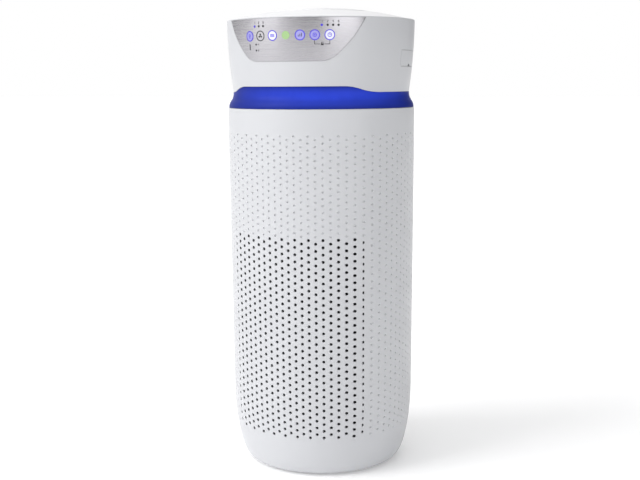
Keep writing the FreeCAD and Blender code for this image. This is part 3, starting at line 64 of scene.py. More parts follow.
def addPiece(bm, name, body, materials, stands=(), sharp=35, closed=True, normals=None):
    # turns a finished bmesh into a piece that rides on a body
    if closed:
        bmesh.ops.recalc_face_normals(bm, faces=bm.faces[:])
    bmesh.ops.scale(bm, verts=bm.verts[:], vec=(mm, mm, mm))
    mesh = bpy.data.meshes.new(name)
    bm.to_mesh(mesh)
    bm.free()
    for material in materials if isinstance(materials, (list, tuple)) else [materials]:
        mesh.materials.append(material)
    mesh.polygons.foreach_set("use_smooth", [True] * len(mesh.polygons))
    mesh.set_sharp_from_angle(angle=math.radians(sharp))
    if normals:
        followSurface(mesh, normals)
    piece = bpy.data.objects.new(name, mesh)
    bpy.context.scene.collection.objects.link(piece)
    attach(piece, body)
    if stands:
        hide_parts(*stands)
    return piece


def followSurface(mesh, normalAt):
    # faces that lie on the true surface are shaded by its own normal, so a cut edge leaves no ripple
    custom = [(0, 0, 0)] * len(mesh.loops)
    for face in mesh.polygons:
        if face.normal.dot(normalAt(face.center)) > 0.96:
            for loop in face.loop_indices:
                custom[loop] = normalAt(mesh.vertices[mesh.loops[loop].vertex_index].co)
    mesh.normals_split_custom_set(custom)


def spun(points, steps, closed=True):
    # turns a profile of (radius, height) points about Z
    bm = bmesh.new()
    line = [bm.verts.new((radius, 0, height)) for radius, height in points]
    pairs = list(zip(line, line[1:])) + ([(line[-1], line[0])] if closed else [])
    edges = [bm.edges.new(pair) for pair in pairs]
    bmesh.ops.spin(bm, geom=line + edges, cent=(0, 0, 0), axis=(0, 0, 1), angle=math.tau, steps=steps,
                   use_merge=True)
    bmesh.ops.remove_doubles(bm, verts=bm.verts[:], dist=mergeGap)
    bmesh.ops.recalc_face_normals(bm, faces=bm.faces[:])
    return bm


def arc(start, end, radius, turn, steps):
    # the short arc from start to end, turning left (1) or right (-1), without its first point
    start, end = Vector(start), Vector(end)
    chord = end - start
    side = Vector((-chord.y, chord.x)).normalized() * turn
    centre = (start + end) / 2 + side * math.sqrt(max(radius ** 2 - (chord.length / 2) ** 2, 0))
    first = math.atan2(*(start - centre).yx)
    sweep = 2 * math.asin(min(chord.length / 2 / radius, 1)) * turn
    return [
        tuple(centre + radius * Vector((math.cos(first + sweep * i / steps), math.sin(first + sweep * i / steps))))
        for i in range(1, steps + 1)
    ]


def roundedBox(half, low, high, corner, steps=6):
    # outline of a rounded rectangle, as (across, height) points
    points = []
    for side, level, start in ((1, low, -90), (1, high, 0), (-1, high, 90), (-1, low, 180)):
        centre = Vector((side * (half - corner), level + corner if level == low else level - corner))
        for i in range(steps + 1):
            angle = math.radians(start + 90 * i / steps)
            points.append(tuple(centre + corner * Vector((math.cos(angle), math.sin(angle)))))
    return points


def prism(outline, near, far, facing=0):
    # an outline of (across, height) points pushed from near to far, along -Y turned by the facing angle
    bm = bmesh.new()
    face = bm.faces.new([bm.verts.new((across, -near, height)) for across, height in outline])
    made = bmesh.ops.extrude_face_region(bm, geom=[face])
    moved = [part for part in made["geom"] if isinstance(part, bmesh.types.BMVert)]
    bmesh.ops.translate(bm, verts=moved, vec=(0, near - far, 0))
    bmesh.ops.rotate(bm, verts=bm.verts[:], cent=(0, 0, 0), matrix=Matrix.Rotation(math.radians(facing), 3, "Z"))
    bmesh.ops.recalc_face_normals(bm, faces=bm.faces[:])
    return bm


def carve(bm, cutter, operation="DIFFERENCE"):
    # a boolean of two bmeshes, through the modifier
    objects = []
    for name, part in (("blank", bm), ("cutter", cutter)):
        mesh = bpy.data.meshes.new(name)
        part.to_mesh(mesh)
        part.free()
        objects.append(bpy.data.objects.new(name, mesh))
        bpy.context.scene.collection.objects.link(objects[-1])
    boolean = objects[0].modifiers.new("cut", "BOOLEAN")
    boolean.object = objects[1]
    boolean.operation = operation
    boolean.solver = "EXACT"
    ready = objects[0].evaluated_get(bpy.context.evaluated_depsgraph_get())
    result = bmesh.new()
    result.from_mesh(ready.to_mesh())
    for item in objects:
        mesh = item.data
        bpy.data.objects.remove(item)
        bpy.data.meshes.remove(mesh)
    return result


def join(bm, other):
    # adds another bmesh, which is used up, and returns its vertices here
    mesh = bpy.data.meshes.new("joined")
    other.to_mesh(mesh)
    other.free()
    before = len(bm.verts)
    bm.from_mesh(mesh)
    bpy.data.meshes.remove(mesh)
    bm.verts.ensure_lookup_table()
    return bm.verts[before:]


def softenEdges(bm, width, segments=2, angle=40):
    edges = [e for e in bm.edges if len(e.link_faces) == 2 and e.calc_face_angle(0) > math.radians(angle)]
    bmesh.ops.bevel(bm, geom=edges, offset=width, offset_type="OFFSET", segments=segments, profile=0.5,
                    affect="EDGES", material=-1, clamp_overlap=True)


# ---- material kit

def newGroup(name, inputs, outputs):
    group = bpy.data.node_groups.new(name, "ShaderNodeTree")
    for label, kind, value in inputs:
        group.interface.new_socket(label, in_out="INPUT", socket_type="NodeSocket" + kind).default_value = value
    for label, kind in outputs:
        group.interface.new_socket(label, in_out="OUTPUT", socket_type="NodeSocket" + kind)
    return group, group.nodes.new("NodeGroupInput"), group.nodes.new("NodeGroupOutput")


def addNode(tree, kind, **values):
    # a node with its settings and its inputs' values, links included
    node = tree.nodes.new("ShaderNode" + kind)
    for label, value in values.items():
        if hasattr(node, label):
            setattr(node, label, value)
            continue
        key = label.replace("_", " ")
        socket = node.inputs[int(key[1:])] if key[0] == "i" and key[1:].isdigit() else node.inputs[key]
        if isinstance(value, bpy.types.NodeSocket):
            tree.links.new(value, socket)
        else:
            socket.default_value = value
    return node


def noiseOf(tree, place, scale, detail=2.0, stretch=(1, 1, 1)):
    mapped = addNode(tree, "Mapping", Vector=place, Scale=stretch)
    return addNode(tree, "TexNoise", Vector=mapped.outputs[0], Scale=scale, Detail=detail).outputs["Fac"]


def mix(tree, factor, low, high):
    node = addNode(tree, "Mix", data_type="RGBA")
    for socket, value in zip((node.inputs[0], node.inputs[6], node.inputs[7]), (factor, low, high)):
        if isinstance(value, bpy.types.NodeSocket):
            tree.links.new(value, socket)
        else:
            socket.default_value = value
    return node.outputs[2]


def spread(tree, value, low, high, start=0.3, end=0.7):
    return addNode(tree, "MapRange", i0=value, i1=start, i2=end, i3=low, i4=high).outputs[0]


def buildGrain():
    # moulded plastic: broad cloudiness in the colour, fine spark texture in the bump, patchy gloss
    tree, source, end = newGroup(
        "mouldGrain",
        [("Colour", "Color", (1, 1, 1, 1)), ("Shade", "Color", (1, 1, 1, 1)), ("Gloss", "Float", 0.4),
         ("Grain Size", "Float", 0.0006), ("Grain Depth", "Float", 0.00002)],
        [("Colour", "Color"), ("Roughness", "Float"), ("Normal", "Vector")])
    place = addNode(tree, "TexCoord").outputs["Object"]
    cloud = noiseOf(tree, place, 9, 3)
    speck = noiseOf(tree, place, 420, 2)
    blend = addNode(tree, "Math", operation="MULTIPLY_ADD", i0=speck, i1=0.35, i2=cloud).outputs[0]
    tree.links.new(mix(tree, spread(tree, blend, 0, 1, 0.45, 0.95), source.outputs["Colour"],
                       source.outputs["Shade"]), end.inputs["Colour"])
    patch = spread(tree, noiseOf(tree, place, 26, 4), -0.05, 0.06)
    tree.links.new(addNode(tree, "Math", operation="ADD", i0=source.outputs["Gloss"], i1=patch).outputs[0],
                   end.inputs["Roughness"])
    size = addNode(tree, "Math", operation="DIVIDE", i0=1.0, i1=source.outputs["Grain Size"]).outputs[0]
    fine = addNode(tree, "TexNoise", Vector=place, Scale=size, Detail=3.0).outputs["Fac"]
    bump = addNode(tree, "Bump", Height=fine, Distance=source.outputs["Grain Depth"], Strength=0.8)
    tree.links.new(bump.outputs[0], end.inputs["Normal"])
    return tree


def buildBrush():
    # metal brushed along the sweep of the surface, in level lines
    tree, source, end = newGroup(
        "levelBrush",
        [("Colour", "Color", (1, 1, 1, 1)), ("Streak", "Color", (1, 1, 1, 1)), ("Gloss", "Float", 0.3),
         ("Depth", "Float", 0.00001)],
        [("Colour", "Color"), ("Roughness", "Float"), ("Normal", "Vector")])
    place = addNode(tree, "TexCoord").outputs["Object"]
    long = noiseOf(tree, place, 1, 4, (14, 14, 2600))
    short = noiseOf(tree, place, 1, 3, (90, 90, 5200))
    both = addNode(tree, "Math", operation="MULTIPLY_ADD", i0=short, i1=0.5, i2=long).outputs[0]
    tree.links.new(mix(tree, spread(tree, both, 0, 1, 0.5, 1.0), source.outputs["Colour"],
                       source.outputs["Streak"]), end.inputs["Colour"])
    uneven = spread(tree, both, -0.06, 0.08, 0.5, 1.0)
    tree.links.new(addNode(tree, "Math", operation="ADD", i0=source.outputs["Gloss"], i1=uneven).outputs[0],
                   end.inputs["Roughness"])
    bump = addNode(tree, "Bump", Height=both, Distance=source.outputs["Depth"], Strength=0.6)
    tree.links.new(bump.outputs[0], end.inputs["Normal"])
    return tree


def buildFibre():
    # felt, paper and foam: matted fibres that lie every way
    tree, source, end = newGroup(
        "mattedFibre",
        [("Colour", "Color", (1, 1, 1, 1)), ("Shade", "Color", (1, 1, 1, 1)), ("Fibre Size", "Float", 0.001),
         ("Depth", "Float", 0.0001)],
        [("Colour", "Color"), ("Normal", "Vector")])
    place = addNode(tree, "TexCoord").outputs["Object"]
    size = addNode(tree, "Math", operation="DIVIDE", i0=1.0, i1=source.outputs["Fibre Size"]).outputs[0]
    bend = addNode(tree, "TexNoise", Vector=place, Scale=60.0, Detail=2.0).outputs["Color"]
    pushed = addNode(tree, "VectorMath", operation="MULTIPLY_ADD", i0=bend, i1=(0.006, 0.006, 0.006), i2=place)
    strand = addNode(tree, "TexNoise", Vector=pushed.outputs[0], Scale=size, Detail=5.0, Roughness=0.7)
    tree.links.new(mix(tree, spread(tree, strand.outputs["Fac"], 0, 1), source.outputs["Colour"],
                       source.outputs["Shade"]), end.inputs["Colour"])
    bump = addNode(tree, "Bump", Height=strand.outputs["Fac"], Distance=source.outputs["Depth"], Strength=0.9)
    tree.links.new(bump.outputs[0], end.inputs["Normal"])
    return tree


grain, brush, fibre = buildGrain(), buildBrush(), buildFibre()


def shaderOf(name, **values):
    material = bpy.data.materials.new(name)
    material.use_nodes = True
    shader = material.node_tree.nodes["Principled BSDF"]
    for label, value in values.items():
        shader.inputs[label.replace("_", " ")].default_value = value
    return material, material.node_tree, shader


def colour(red, green, blue):
    return (red, green, blue, 1)


def useGroup(tree, shader, group, outputs, **values):
    node = tree.nodes.new("ShaderNodeGroup")
    node.node_tree = group
    for label, value in values.items():
        node.inputs[label.replace("_", " ")].default_value = value
    for output, socket in outputs.items():
        tree.links.new(node.outputs[output], shader.inputs[socket])
    return node


plain = {"Colour": "Base Color", "Roughness": "Roughness", "Normal": "Normal"}


def moulded(name, base, shade, gloss, grainSize=0.0006, grainDepth=0.00002, **shaderValues):
    material, tree, shader = shaderOf(name, **shaderValues)
    useGroup(tree, shader, grain, plain, Colour=colour(*base), Shade=colour(*shade), Gloss=gloss,
             Grain_Size=grainSize, Grain_Depth=grainDepth)
    return material


def brushed(name, base, streak, gloss, depth=0.00001, **shaderValues):
    material, tree, shader = shaderOf(name, Metallic=1.0, **shaderValues)
    useGroup(tree, shader, brush, plain, Colour=colour(*base), Streak=colour(*streak), Gloss=gloss, Depth=depth)
    return material


def matted(name, base, shade, fibreSize, depth, roughness=0.9, **shaderValues):
    material, tree, shader = shaderOf(name, Roughness=roughness, **shaderValues)
    useGroup(tree, shader, fibre, {"Colour": "Base Color", "Normal": "Normal"}, Colour=colour(*base),
             Shade=colour(*shade), Fibre_Size=fibreSize, Depth=depth)
    return material


def setRamp(ramp, stops):
    # grey stops as (place, value), the first and last taking the ramp's own two ends
    for i, (place, value) in enumerate(stops):
        if i in (0, len(stops) - 1):
            stop = ramp.elements[0 if i == 0 else len(ramp.elements) - 1]
            stop.position = place
        else:
            stop = ramp.elements.new(place)
        stop.color = (value, value, value, 1)


def glowing(name, base, glow, strength, fade=None):
    # lit plastic, patchy the way light spreads in a guide, with painted shade that darkens the glow and the base colour
    # towards the silhouette; fade is (low height, high height, stops between)
    material, tree, shader = shaderOf(name, Roughness=0.42, Emission_Strength=strength, IOR=1.15)
    place = addNode(tree, "TexCoord").outputs["Object"]
    patch = spread(tree, noiseOf(tree, place, 55, 2), 0.88, 1.0)
    if fade:
        height = addNode(tree, "SeparateXYZ", Vector=place).outputs["Z"]
        ramp = addNode(tree, "ValToRGB", Fac=spread(tree, height, 0, 1, fade[0], fade[1]))
        ramp.color_ramp.interpolation = "B_SPLINE"
        setRamp(ramp.color_ramp, fade[2])
        patch = addNode(tree, "Math", operation="MULTIPLY", i0=patch, i1=ramp.outputs[0]).outputs[0]
    # painted shade: the glow fades towards the silhouette by its angle to the view, down to 15% at the edges
    facing = addNode(tree, "LayerWeight", Blend=0.5).outputs["Facing"]
    paintedLimbShade = spread(tree, facing, 1.0, 0.15, 0.05, 0.7)
    patch = addNode(tree, "Math", operation="MULTIPLY", i0=patch, i1=paintedLimbShade).outputs[0]
    shine = addNode(tree, "VectorMath", operation="SCALE", i0=glow, Scale=patch).outputs[0]
    tree.links.new(shine, shader.inputs["Emission Color"])
    # the base colour takes the same painted shade towards the silhouette
    tree.links.new(mix(tree, patch, colour(*[part * 0.8 for part in base]), colour(*base)),
                   shader.inputs["Base Color"])
    return material


white = (0.545, 0.552, 0.572)
finish = {
    "shellWhite": moulded("shellWhite", white, (0.530, 0.537, 0.559), 0.38, 0.0007, 0.000012,
                          Coat_Weight=0.12, Coat_Roughness=0.2),
    "domeWhite": moulded("domeWhite", (0.78, 0.78, 0.795), (0.76, 0.76, 0.775), 0.42, 0.0007, 0.000012),
    "innerGrey": moulded("innerGrey", (0.035, 0.036, 0.039), (0.05, 0.05, 0.054), 0.55, 0.0009, 0.00004),
    "fanGrey": moulded("fanGrey", (0.30, 0.31, 0.33), (0.25, 0.26, 0.28), 0.42, 0.0008, 0.00002),
    "footRubber": moulded("footRubber", (0.018, 0.018, 0.019), (0.03, 0.03, 0.031), 0.78, 0.0005, 0.00006),
    "gasketFoam": matted("gasketFoam", (0.03, 0.03, 0.032), (0.055, 0.055, 0.058), 0.0009, 0.0002, 0.95),
    "zincSteel": brushed("zincSteel", (0.52, 0.53, 0.55), (0.62, 0.62, 0.63), 0.30),
    "motorSteel": brushed("motorSteel", (0.38, 0.39, 0.41), (0.46, 0.47, 0.48), 0.38),
    "glandBlack": moulded("glandBlack", (0.015, 0.015, 0.017), (0.026, 0.026, 0.028), 0.48, 0.0005, 0.00003),
    "filterFrame": moulded("filterFrame", (0.045, 0.048, 0.055), (0.06, 0.063, 0.07), 0.5, 0.0008, 0.00003),
    "filterPaper": matted("filterPaper", (0.78, 0.77, 0.71), (0.68, 0.66, 0.60), 0.0012, 0.00012),
    "carbonBed": moulded("carbonBed", (0.012, 0.012, 0.013), (0.05, 0.05, 0.052), 0.7, 0.0022, 0.0009),
    "screenNet": matted("screenNet", (0.07, 0.072, 0.075), (0.11, 0.112, 0.115), 0.0006, 0.00006, 0.7),
    "strapTape": matted("strapTape", (0.50, 0.51, 0.53), (0.40, 0.41, 0.43), 0.0007, 0.00015, 0.85,
                        Sheen_Weight=0.3),
    "ceramicCream": moulded("ceramicCream", (0.72, 0.70, 0.64), (0.66, 0.64, 0.58), 0.5, 0.0006, 0.00003),
    "polishedSheet": brushed("polishedSheet", (0.80, 0.80, 0.81), (0.88, 0.88, 0.88), 0.14),
    "pottedBlack": moulded("pottedBlack", (0.02, 0.02, 0.022), (0.035, 0.035, 0.037), 0.42),
    "needleSteel": brushed("needleSteel", (0.70, 0.70, 0.72), (0.80, 0.80, 0.81), 0.12),
    "guideClear": moulded("guideClear", (0.72, 0.74, 0.82), (0.66, 0.68, 0.78), 0.22, 0.0008, 0.00001),
    "padFelt": matted("padFelt", (0.82, 0.79, 0.71), (0.72, 0.68, 0.60), 0.0009, 0.00025, 0.95, Sheen_Weight=0.25),
    "panelSilver": brushed("panelSilver", (0.44, 0.43, 0.46), (0.50, 0.49, 0.51), 0.26, 0.000003),
    "printBlack": moulded("printBlack", (0.012, 0.012, 0.014), (0.02, 0.02, 0.022), 0.45),
}


def buildBoard():
    # solder mask over copper tracks
    material, tree, shader = shaderOf("boardGreen", Roughness=0.35)
    place = addNode(tree, "TexCoord").outputs["Object"]
    tracks = addNode(tree, "TexBrick", Vector=place, Scale=120.0, Mortar_Size=0.02, Color1=colour(0.01, 0.10, 0.04),
                     Color2=colour(0.012, 0.13, 0.05), Mortar=colour(0.03, 0.22, 0.09))
    speck = spread(tree, noiseOf(tree, place, 700, 2), 0, 1, 0.6, 0.66)
    tree.links.new(mix(tree, speck, tracks.outputs["Color"], colour(0.55, 0.55, 0.5)), shader.inputs["Base Color"])
    bump = addNode(tree, "Bump", Height=tracks.outputs["Fac"], Distance=0.00004, Strength=0.6)
    tree.links.new(bump.outputs[0], shader.inputs["Normal"])
    return material


def buildQuartz():
    material, tree, shader = shaderOf("lampQuartz", Transmission_Weight=0.85, Metallic=0.0)
    place = addNode(tree, "TexCoord").outputs["Object"]
    haze = noiseOf(tree, place, 40, 3)
    tree.links.new(mix(tree, haze, colour(0.90, 0.93, 1.0), colour(0.78, 0.84, 0.97)), shader.inputs["Base Color"])
    tree.links.new(spread(tree, haze, 0.04, 0.12), shader.inputs["Roughness"])
    return material


finish["boardGreen"] = buildBoard()
finish["lampQuartz"] = buildQuartz()
print("materials:", len(finish))


# ---- perforated casing (sizes in millimetres until addPiece)

casing = {
    "reference": 134.4, "corner": 133.4, "full": 136.0, "cornerHeight": 118.0, "shoulder": 470.0, "top": 524.3,
    "footFlat": 108.4, "footBulge": 25.0, "footHeight": 115.0, "footGap": 3.0, "flangeBore": 98.0, "wall": 2.6,
    "firstLine": 52.6, "holeStep": 5.05, "dimpleLine": 59, "dimpleStep": 4.73, "lastLine": 89, "lowLine": -3,
    "pitch": 9.57, "columns": 10, "sideColumns": 8, "hole": 2.15, "edgeHole": 1.25, "chamfer": 0.25,
    "dimple": 1.75, "dimpleDepth": 1.8,
    "backLine": 64, "doorHalf": 106.0, "doorLow": 44.0, "doorHigh": 366.0, "doorCorner": 16.0,
}
borderAcross = (casing["columns"] + 0.5) * casing["pitch"]
sidePitch = math.sqrt(casing["reference"] ** 2 - borderAcross ** 2) / (casing["sideColumns"] + 0.5)


def casingRadius(height):
    if height < casing["cornerHeight"]:
        drop = min((casing["cornerHeight"] - height) / casing["footHeight"], 1)
        return casing["footFlat"] + casing["footBulge"] * math.sqrt(1 - drop ** 2)
    rise = min((height - casing["cornerHeight"]) / (casing["shoulder"] - casing["cornerHeight"]), 1)
    return casing["corner"] + (casing["full"] - casing["corner"]) * rise


def lineHeight(line):
    if line <= casing["dimpleLine"]:
        return casing["firstLine"] + casing["holeStep"] * line
    return lineHeight(casing["dimpleLine"]) + casing["dimpleStep"] * (line - casing["dimpleLine"])


def wrapped(quarter, across, depth, height):
    # a flat point put on the casing; quarters are front, right, back, left, seen from outside
    radius = casingRadius(height)
    angle = math.asin(across / casing["reference"])
    side, out = radius * math.sin(angle), radius * math.cos(angle)
    if quarter % 2 == 0 and abs(across) < borderAcross - 0.05:
        out -= depth
    else:
        side, out = side * (radius - depth) / radius, out * (radius - depth) / radius
    return [(side, -out, height), (out, side, height), (-side, out, height), (-out, -side, height)][quarter]


def casingNormal(point):
    x, y, height = point[0] / mm, point[1] / mm, point[2] / mm
    slope = (casingRadius(height + 0.5) - casingRadius(height - 0.5)) if height > 6 else 0
    return Vector((x, y, -slope * math.hypot(x, y))).normalized()


def snapToCell(verts, half, heights, depth):
    # verts of a unit grid or circle go to the corners and middles of a cell
    low, high = heights[0], heights[-1]
    for vert in verts:
        vert.co = (round(vert.co.x) * half, depth, (low, (low + high) / 2, high)[round(vert.co.z) + 1])


def roundOff(verts, centre, across, upright, step):
    for vert in verts:
        angle = round(math.atan2(vert.co.z - centre, vert.co.x) / step) * step
        vert.co.x, vert.co.z = across * math.cos(angle), centre + upright * math.sin(angle)


def cellFace(bm, half, low, high):
    ring = bmesh.ops.create_circle(bm, cap_ends=True, radius=1, segments=8, matrix=upright)["verts"]
    face = ring[0].link_faces[0]
    snapToCell(ring, half, (low, high), 0)
    bmesh.ops.inset_individual(bm, faces=[face], thickness=0.2, use_even_offset=True)
    return face


def addHole(bm, half, low, high, radius):
    face = cellFace(bm, half, low, high)
    centre = (low + high) / 2
    for edge in face.edges[:]:
        bmesh.utils.edge_split(edge, edge.verts[0], 0.5)
    roundOff(face.verts, centre, radius + casing["chamfer"], casing["hole"] + casing["chamfer"], math.pi / 8)
    bmesh.ops.inset_individual(bm, faces=[face], thickness=casing["chamfer"], depth=-casing["chamfer"],
                               use_even_offset=True)
    bore = bmesh.ops.extrude_discrete_faces(bm, faces=[face])["faces"][0]
    for vert in bore.verts:
        vert.co.y = casing["wall"]
    inner = bmesh.ops.extrude_discrete_faces(bm, faces=[bore])["faces"][0]
    for vert in inner.verts:
        turn = round(math.atan2(vert.co.z - centre, vert.co.x) / (math.pi / 8))
        turn = (turn + 1 if turn % 2 else turn) // 2 * math.pi / 4
        across, rise = round(math.cos(turn)), round(math.sin(turn))
        vert.co = (across * half, casing["wall"], centre + rise * (high - low) / 2)
    bmesh.ops.delete(bm, geom=[inner], context="FACES_ONLY")


def addDimple(bm, half, low, high):
    face = cellFace(bm, half, low, high)
    centre = (low + high) / 2
    roundOff(face.verts, centre, casing["dimple"], casing["dimple"], math.pi / 4)
    bmesh.ops.inset_individual(bm, faces=[face], thickness=casing["dimple"] * 0.4, depth=-casing["dimpleDepth"] * 0.75,
                               use_even_offset=True)
    bmesh.ops.poke(bm, faces=[face], offset=-casing["dimpleDepth"] * 0.25)
    skin = bmesh.ops.create_grid(bm, x_segments=2, y_segments=2, size=1, matrix=upright)["verts"]
    snapToCell(skin, half, (low, high), casing["wall"])


def addPlain(bm, half, lines):
    # plain strips between lines, outside and inside
    for low, high in zip(lines, lines[1:]):
        for depth in (0, casing["wall"]):
            skin = bmesh.ops.create_grid(bm, x_segments=2, y_segments=1, size=1, matrix=upright)["verts"]
            for vert in skin:
                vert.co = (round(vert.co.x) * half, depth, lineHeight(high if vert.co.z > 0 else low))


def columnMesh(half, first, last, start, holeEnd, end, radius):
    # one column in the flat: plain strips, then holes below holeEnd and dimples above it, then plain strips
    bm = bmesh.new()
    addPlain(bm, half, range(first, start + 1))
    line = start
    while line + 2 <= end:
        low, high = lineHeight(line), lineHeight(line + 2)
        if line < holeEnd:
            addHole(bm, half, low, high, radius)
        else:
            addDimple(bm, half, low, high)
        line += 2
    addPlain(bm, half, range(line, last + 1))
    bmesh.ops.remove_doubles(bm, verts=bm.verts[:], dist=0.002)
    mesh = bpy.data.meshes.new("column")
    bm.to_mesh(mesh)
    bm.free()
    return mesh


def placeColumn(bm, mesh, quarter, across):
    before = len(bm.verts)
    bm.from_mesh(mesh)
    bm.verts.ensure_lookup_table()
    for vert in bm.verts[before:]:
        vert.co = wrapped(quarter, vert.co.x + across, vert.co.y, vert.co.z)


def plainSlab(places, heights):
    # a closed double skin over (quarter, across) places and heights
    bm = bmesh.new()
    wide, tall = len(places) - 1, len(heights) - 1
    for depth in (0, casing["wall"]):
        skin = bmesh.ops.create_grid(bm, x_segments=wide, y_segments=tall, size=1, matrix=upright)["verts"]
        for vert in skin:
            column, row = round((vert.co.x + 1) / 2 * wide), round((vert.co.z + 1) / 2 * tall)
            vert.co = wrapped(*places[column], depth, heights[row])
    rims = [edge for edge in bm.edges if len(edge.link_faces) == 1]
    bmesh.ops.bridge_loops(bm, edges=rims)
    bmesh.ops.recalc_face_normals(bm, faces=bm.faces[:])
    return bm


def borderFaces(bm, test):
    # the slab's own side walls, which go before it joins its neighbours
    return [face for face in bm.faces if all(test(vert.co) for vert in face.verts)]


def growLoop(bm, edges, path):
    for radius, height in path:
        made = bmesh.ops.extrude_edge_only(bm, edges=edges)["geom"]
        for vert in [part for part in made if isinstance(part, bmesh.types.BMVert)]:
            angle = math.atan2(vert.co.y, vert.co.x)
            vert.co = (radius * math.cos(angle), radius * math.sin(angle), height)
        edges = [part for part in made if isinstance(part, bmesh.types.BMEdge)]
    return edges


def angleBehind(point):
    # degrees from straight back, seen from above
    return math.degrees(math.atan2(point.x, point.y))


def columnKinds(first, last, holeEnds, halfWidth, radius, startShift=0, endLines=(89, 88)):
    # the straight and the staggered column
    return [
        columnMesh(halfWidth, first, last, 1 + startShift, holeEnds[0], endLines[0], radius),
        columnMesh(halfWidth, first, last, 2 + startShift, holeEnds[1], endLines[1], radius),
    ]


def buildCasing():
    half, sideHalf = casing["pitch"] / 2, sidePitch / 2
    low, last, back = casing["lowLine"], casing["lastLine"], casing["backLine"]
    front = columnKinds(low, last, (59, 58), half, casing["hole"])
    edge = columnKinds(low, last, (59, 58), half, casing["edgeHole"])
    side = columnKinds(low, last, (0, 0), sideHalf, 0)
    rear = columnKinds(back, last, (0, 0), half, 0, back - 1 + 0)
    rear = [columnMesh(half, back, last, back + 1, 0, 89, 0), columnMesh(half, back, last, back, 0, 88, 0)]
    rearSide = [columnMesh(sideHalf, back, last, back + 1, 0, 89, 0), columnMesh(sideHalf, back, last, back, 0, 88, 0)]
    bm = bmesh.new()
    for column in range(-casing["columns"], casing["columns"] + 1):
        kinds = edge if abs(column) == casing["columns"] else front
        placeColumn(bm, kinds[column % 2 == 0], 0, column * casing["pitch"])
        placeColumn(bm, rear[column % 2 == 0], 2, column * casing["pitch"])
    for column in range(-casing["sideColumns"], casing["sideColumns"] + 1):
        for quarter, cutAway in ((1, column >= 7), (3, column <= -7)):
            kinds = rearSide if cutAway else side
            placeColumn(bm, kinds[column % 2 == 1], quarter, column * sidePitch)
    # the plain back, with the filter door's opening
    sides = [(n + 0.5 * half2) * sidePitch for n, half2 in ((6, 1), (7, 0), (7, 1), (8, 0), (8, 1))]
    places = [(1, value) for value in sides[:-1]]
    places += [(2, step * half) for step in range(-21, 22)]
    places += [(3, -value) for value in reversed(sides[:-1])]
    heights = [lineHeight(line) for line in range(low, back + 1)]
    opening = roundedBox(casing["doorHalf"], casing["doorLow"], casing["doorHigh"], casing["doorCorner"])
    slab = carve(plainSlab(places, heights), prism(opening, 60, 200, 180))
    limit = angleBehind(Vector(wrapped(1, sides[0], 0, 300))) - 0.01
    ends = (lambda p: p.z < heights[0] + 0.01, lambda p: p.z > heights[-1] - 0.01,
            lambda p: angleBehind(p) > limit, lambda p: angleBehind(p) < -limit)
    walls = {face for test in ends for face in borderFaces(slab, test)}
    bmesh.ops.delete(slab, geom=list(walls), context="FACES")
    join(bm, slab)
    bmesh.ops.remove_doubles(bm, verts=bm.verts[:], dist=0.004)
    # foot and upper rim
    open_ = [e for e in bm.edges if len(e.link_faces) == 1]
    print("casing: open edges", len(open_))
    foot = [e for e in open_ if all(v.co.z < heights[0] + 0.01 for v in e.verts)]
    crown = [e for e in open_ if all(v.co.z > lineHeight(last) - 0.01 for v in e.verts)]
    outer = lambda e: all(math.hypot(*v.co.xy) > casingRadius(v.co.z) - 0.5 for v in e.verts)
    angles = [math.radians(44.46 + 45.54 * (i / 9) ** 0.8) for i in range(1, 10)]
    down = [(casing["footFlat"] + 25 * math.cos(a), casing["cornerHeight"] - 115 * math.sin(a)) for a in angles]
    inside = [(casing["footFlat"] + 22.4 * math.cos(a), casing["cornerHeight"] - 112 * math.sin(a)) for a in angles]
    sole = growLoop(bm, [e for e in foot if outer(e)], down + [(casing["flangeBore"], casing["footGap"])])
    floor = growLoop(bm, [e for e in foot if not outer(e)], inside + [(casing["flangeBore"], 6)])
    bmesh.ops.bridge_loops(bm, edges=sole + floor)
    top = casing["top"]
    rim = [(136, 508), (136, top - 2.2), (135.7, top - 1.1), (135.1, top - 0.4), (134.3, top)]
    lip = growLoop(bm, [e for e in crown if outer(e)], rim)
    skin = growLoop(bm, [e for e in crown if not outer(e)], [(133.4, 508), (133.4, top)])
    bmesh.ops.bridge_loops(bm, edges=lip + skin)
    print("casing: edges left open", len([e for e in bm.edges if len(e.link_faces) != 2]))
    return bm


addPiece(buildCasing(), "casingShell", "housing", finish["shellWhite"],
         ("casing_barrel", "front_grille"), sharp=38, normals=casingNormal)
print("casing done")


# ---- head

head = {
    "curve": 802.0, "largest": 136.2, "largestHeight": 660.0, "top": 648.0, "wall": 2.6, "edgeLow": 546.7,
    "edgeHigh": 554.9, "edgeFlat": 73.5, "edgeRun": 111.0, "ledgeInner": 127.0, "rimDepth": 4.0,
    "panelFlat": 45.5, "panelBottom": 588.3, "panelCorner": 30.0, "panelSlope": 45.0, "panelLean": 68.0,
    "panelTop": 646.6,
    "panelThick": 1.5, "windowHalf": 64.0, "steps": 240,
}


def headRadius(height, inset=0):
    curve = head["curve"] - inset
    return head["largest"] - head["curve"] + math.sqrt(curve ** 2 - (head["largestHeight"] - height) ** 2)


def headNormal(point):
    x, y, rise = point[0] / mm, point[1] / mm, head["largestHeight"] - point[2] / mm
    return Vector((x, y, -rise / head["curve"] * math.hypot(x, y))).normalized()


def headSide(low, high, inset, steps=16):
    return [(headRadius(low + (high - low) * i / steps, inset), low + (high - low) * i / steps)
            for i in range(steps + 1)]


def headLayer(low, high, outer, inner, steps=16):
    return spun(headSide(low, high, outer, steps) + headSide(low, high, inner, steps)[::-1], head["steps"])


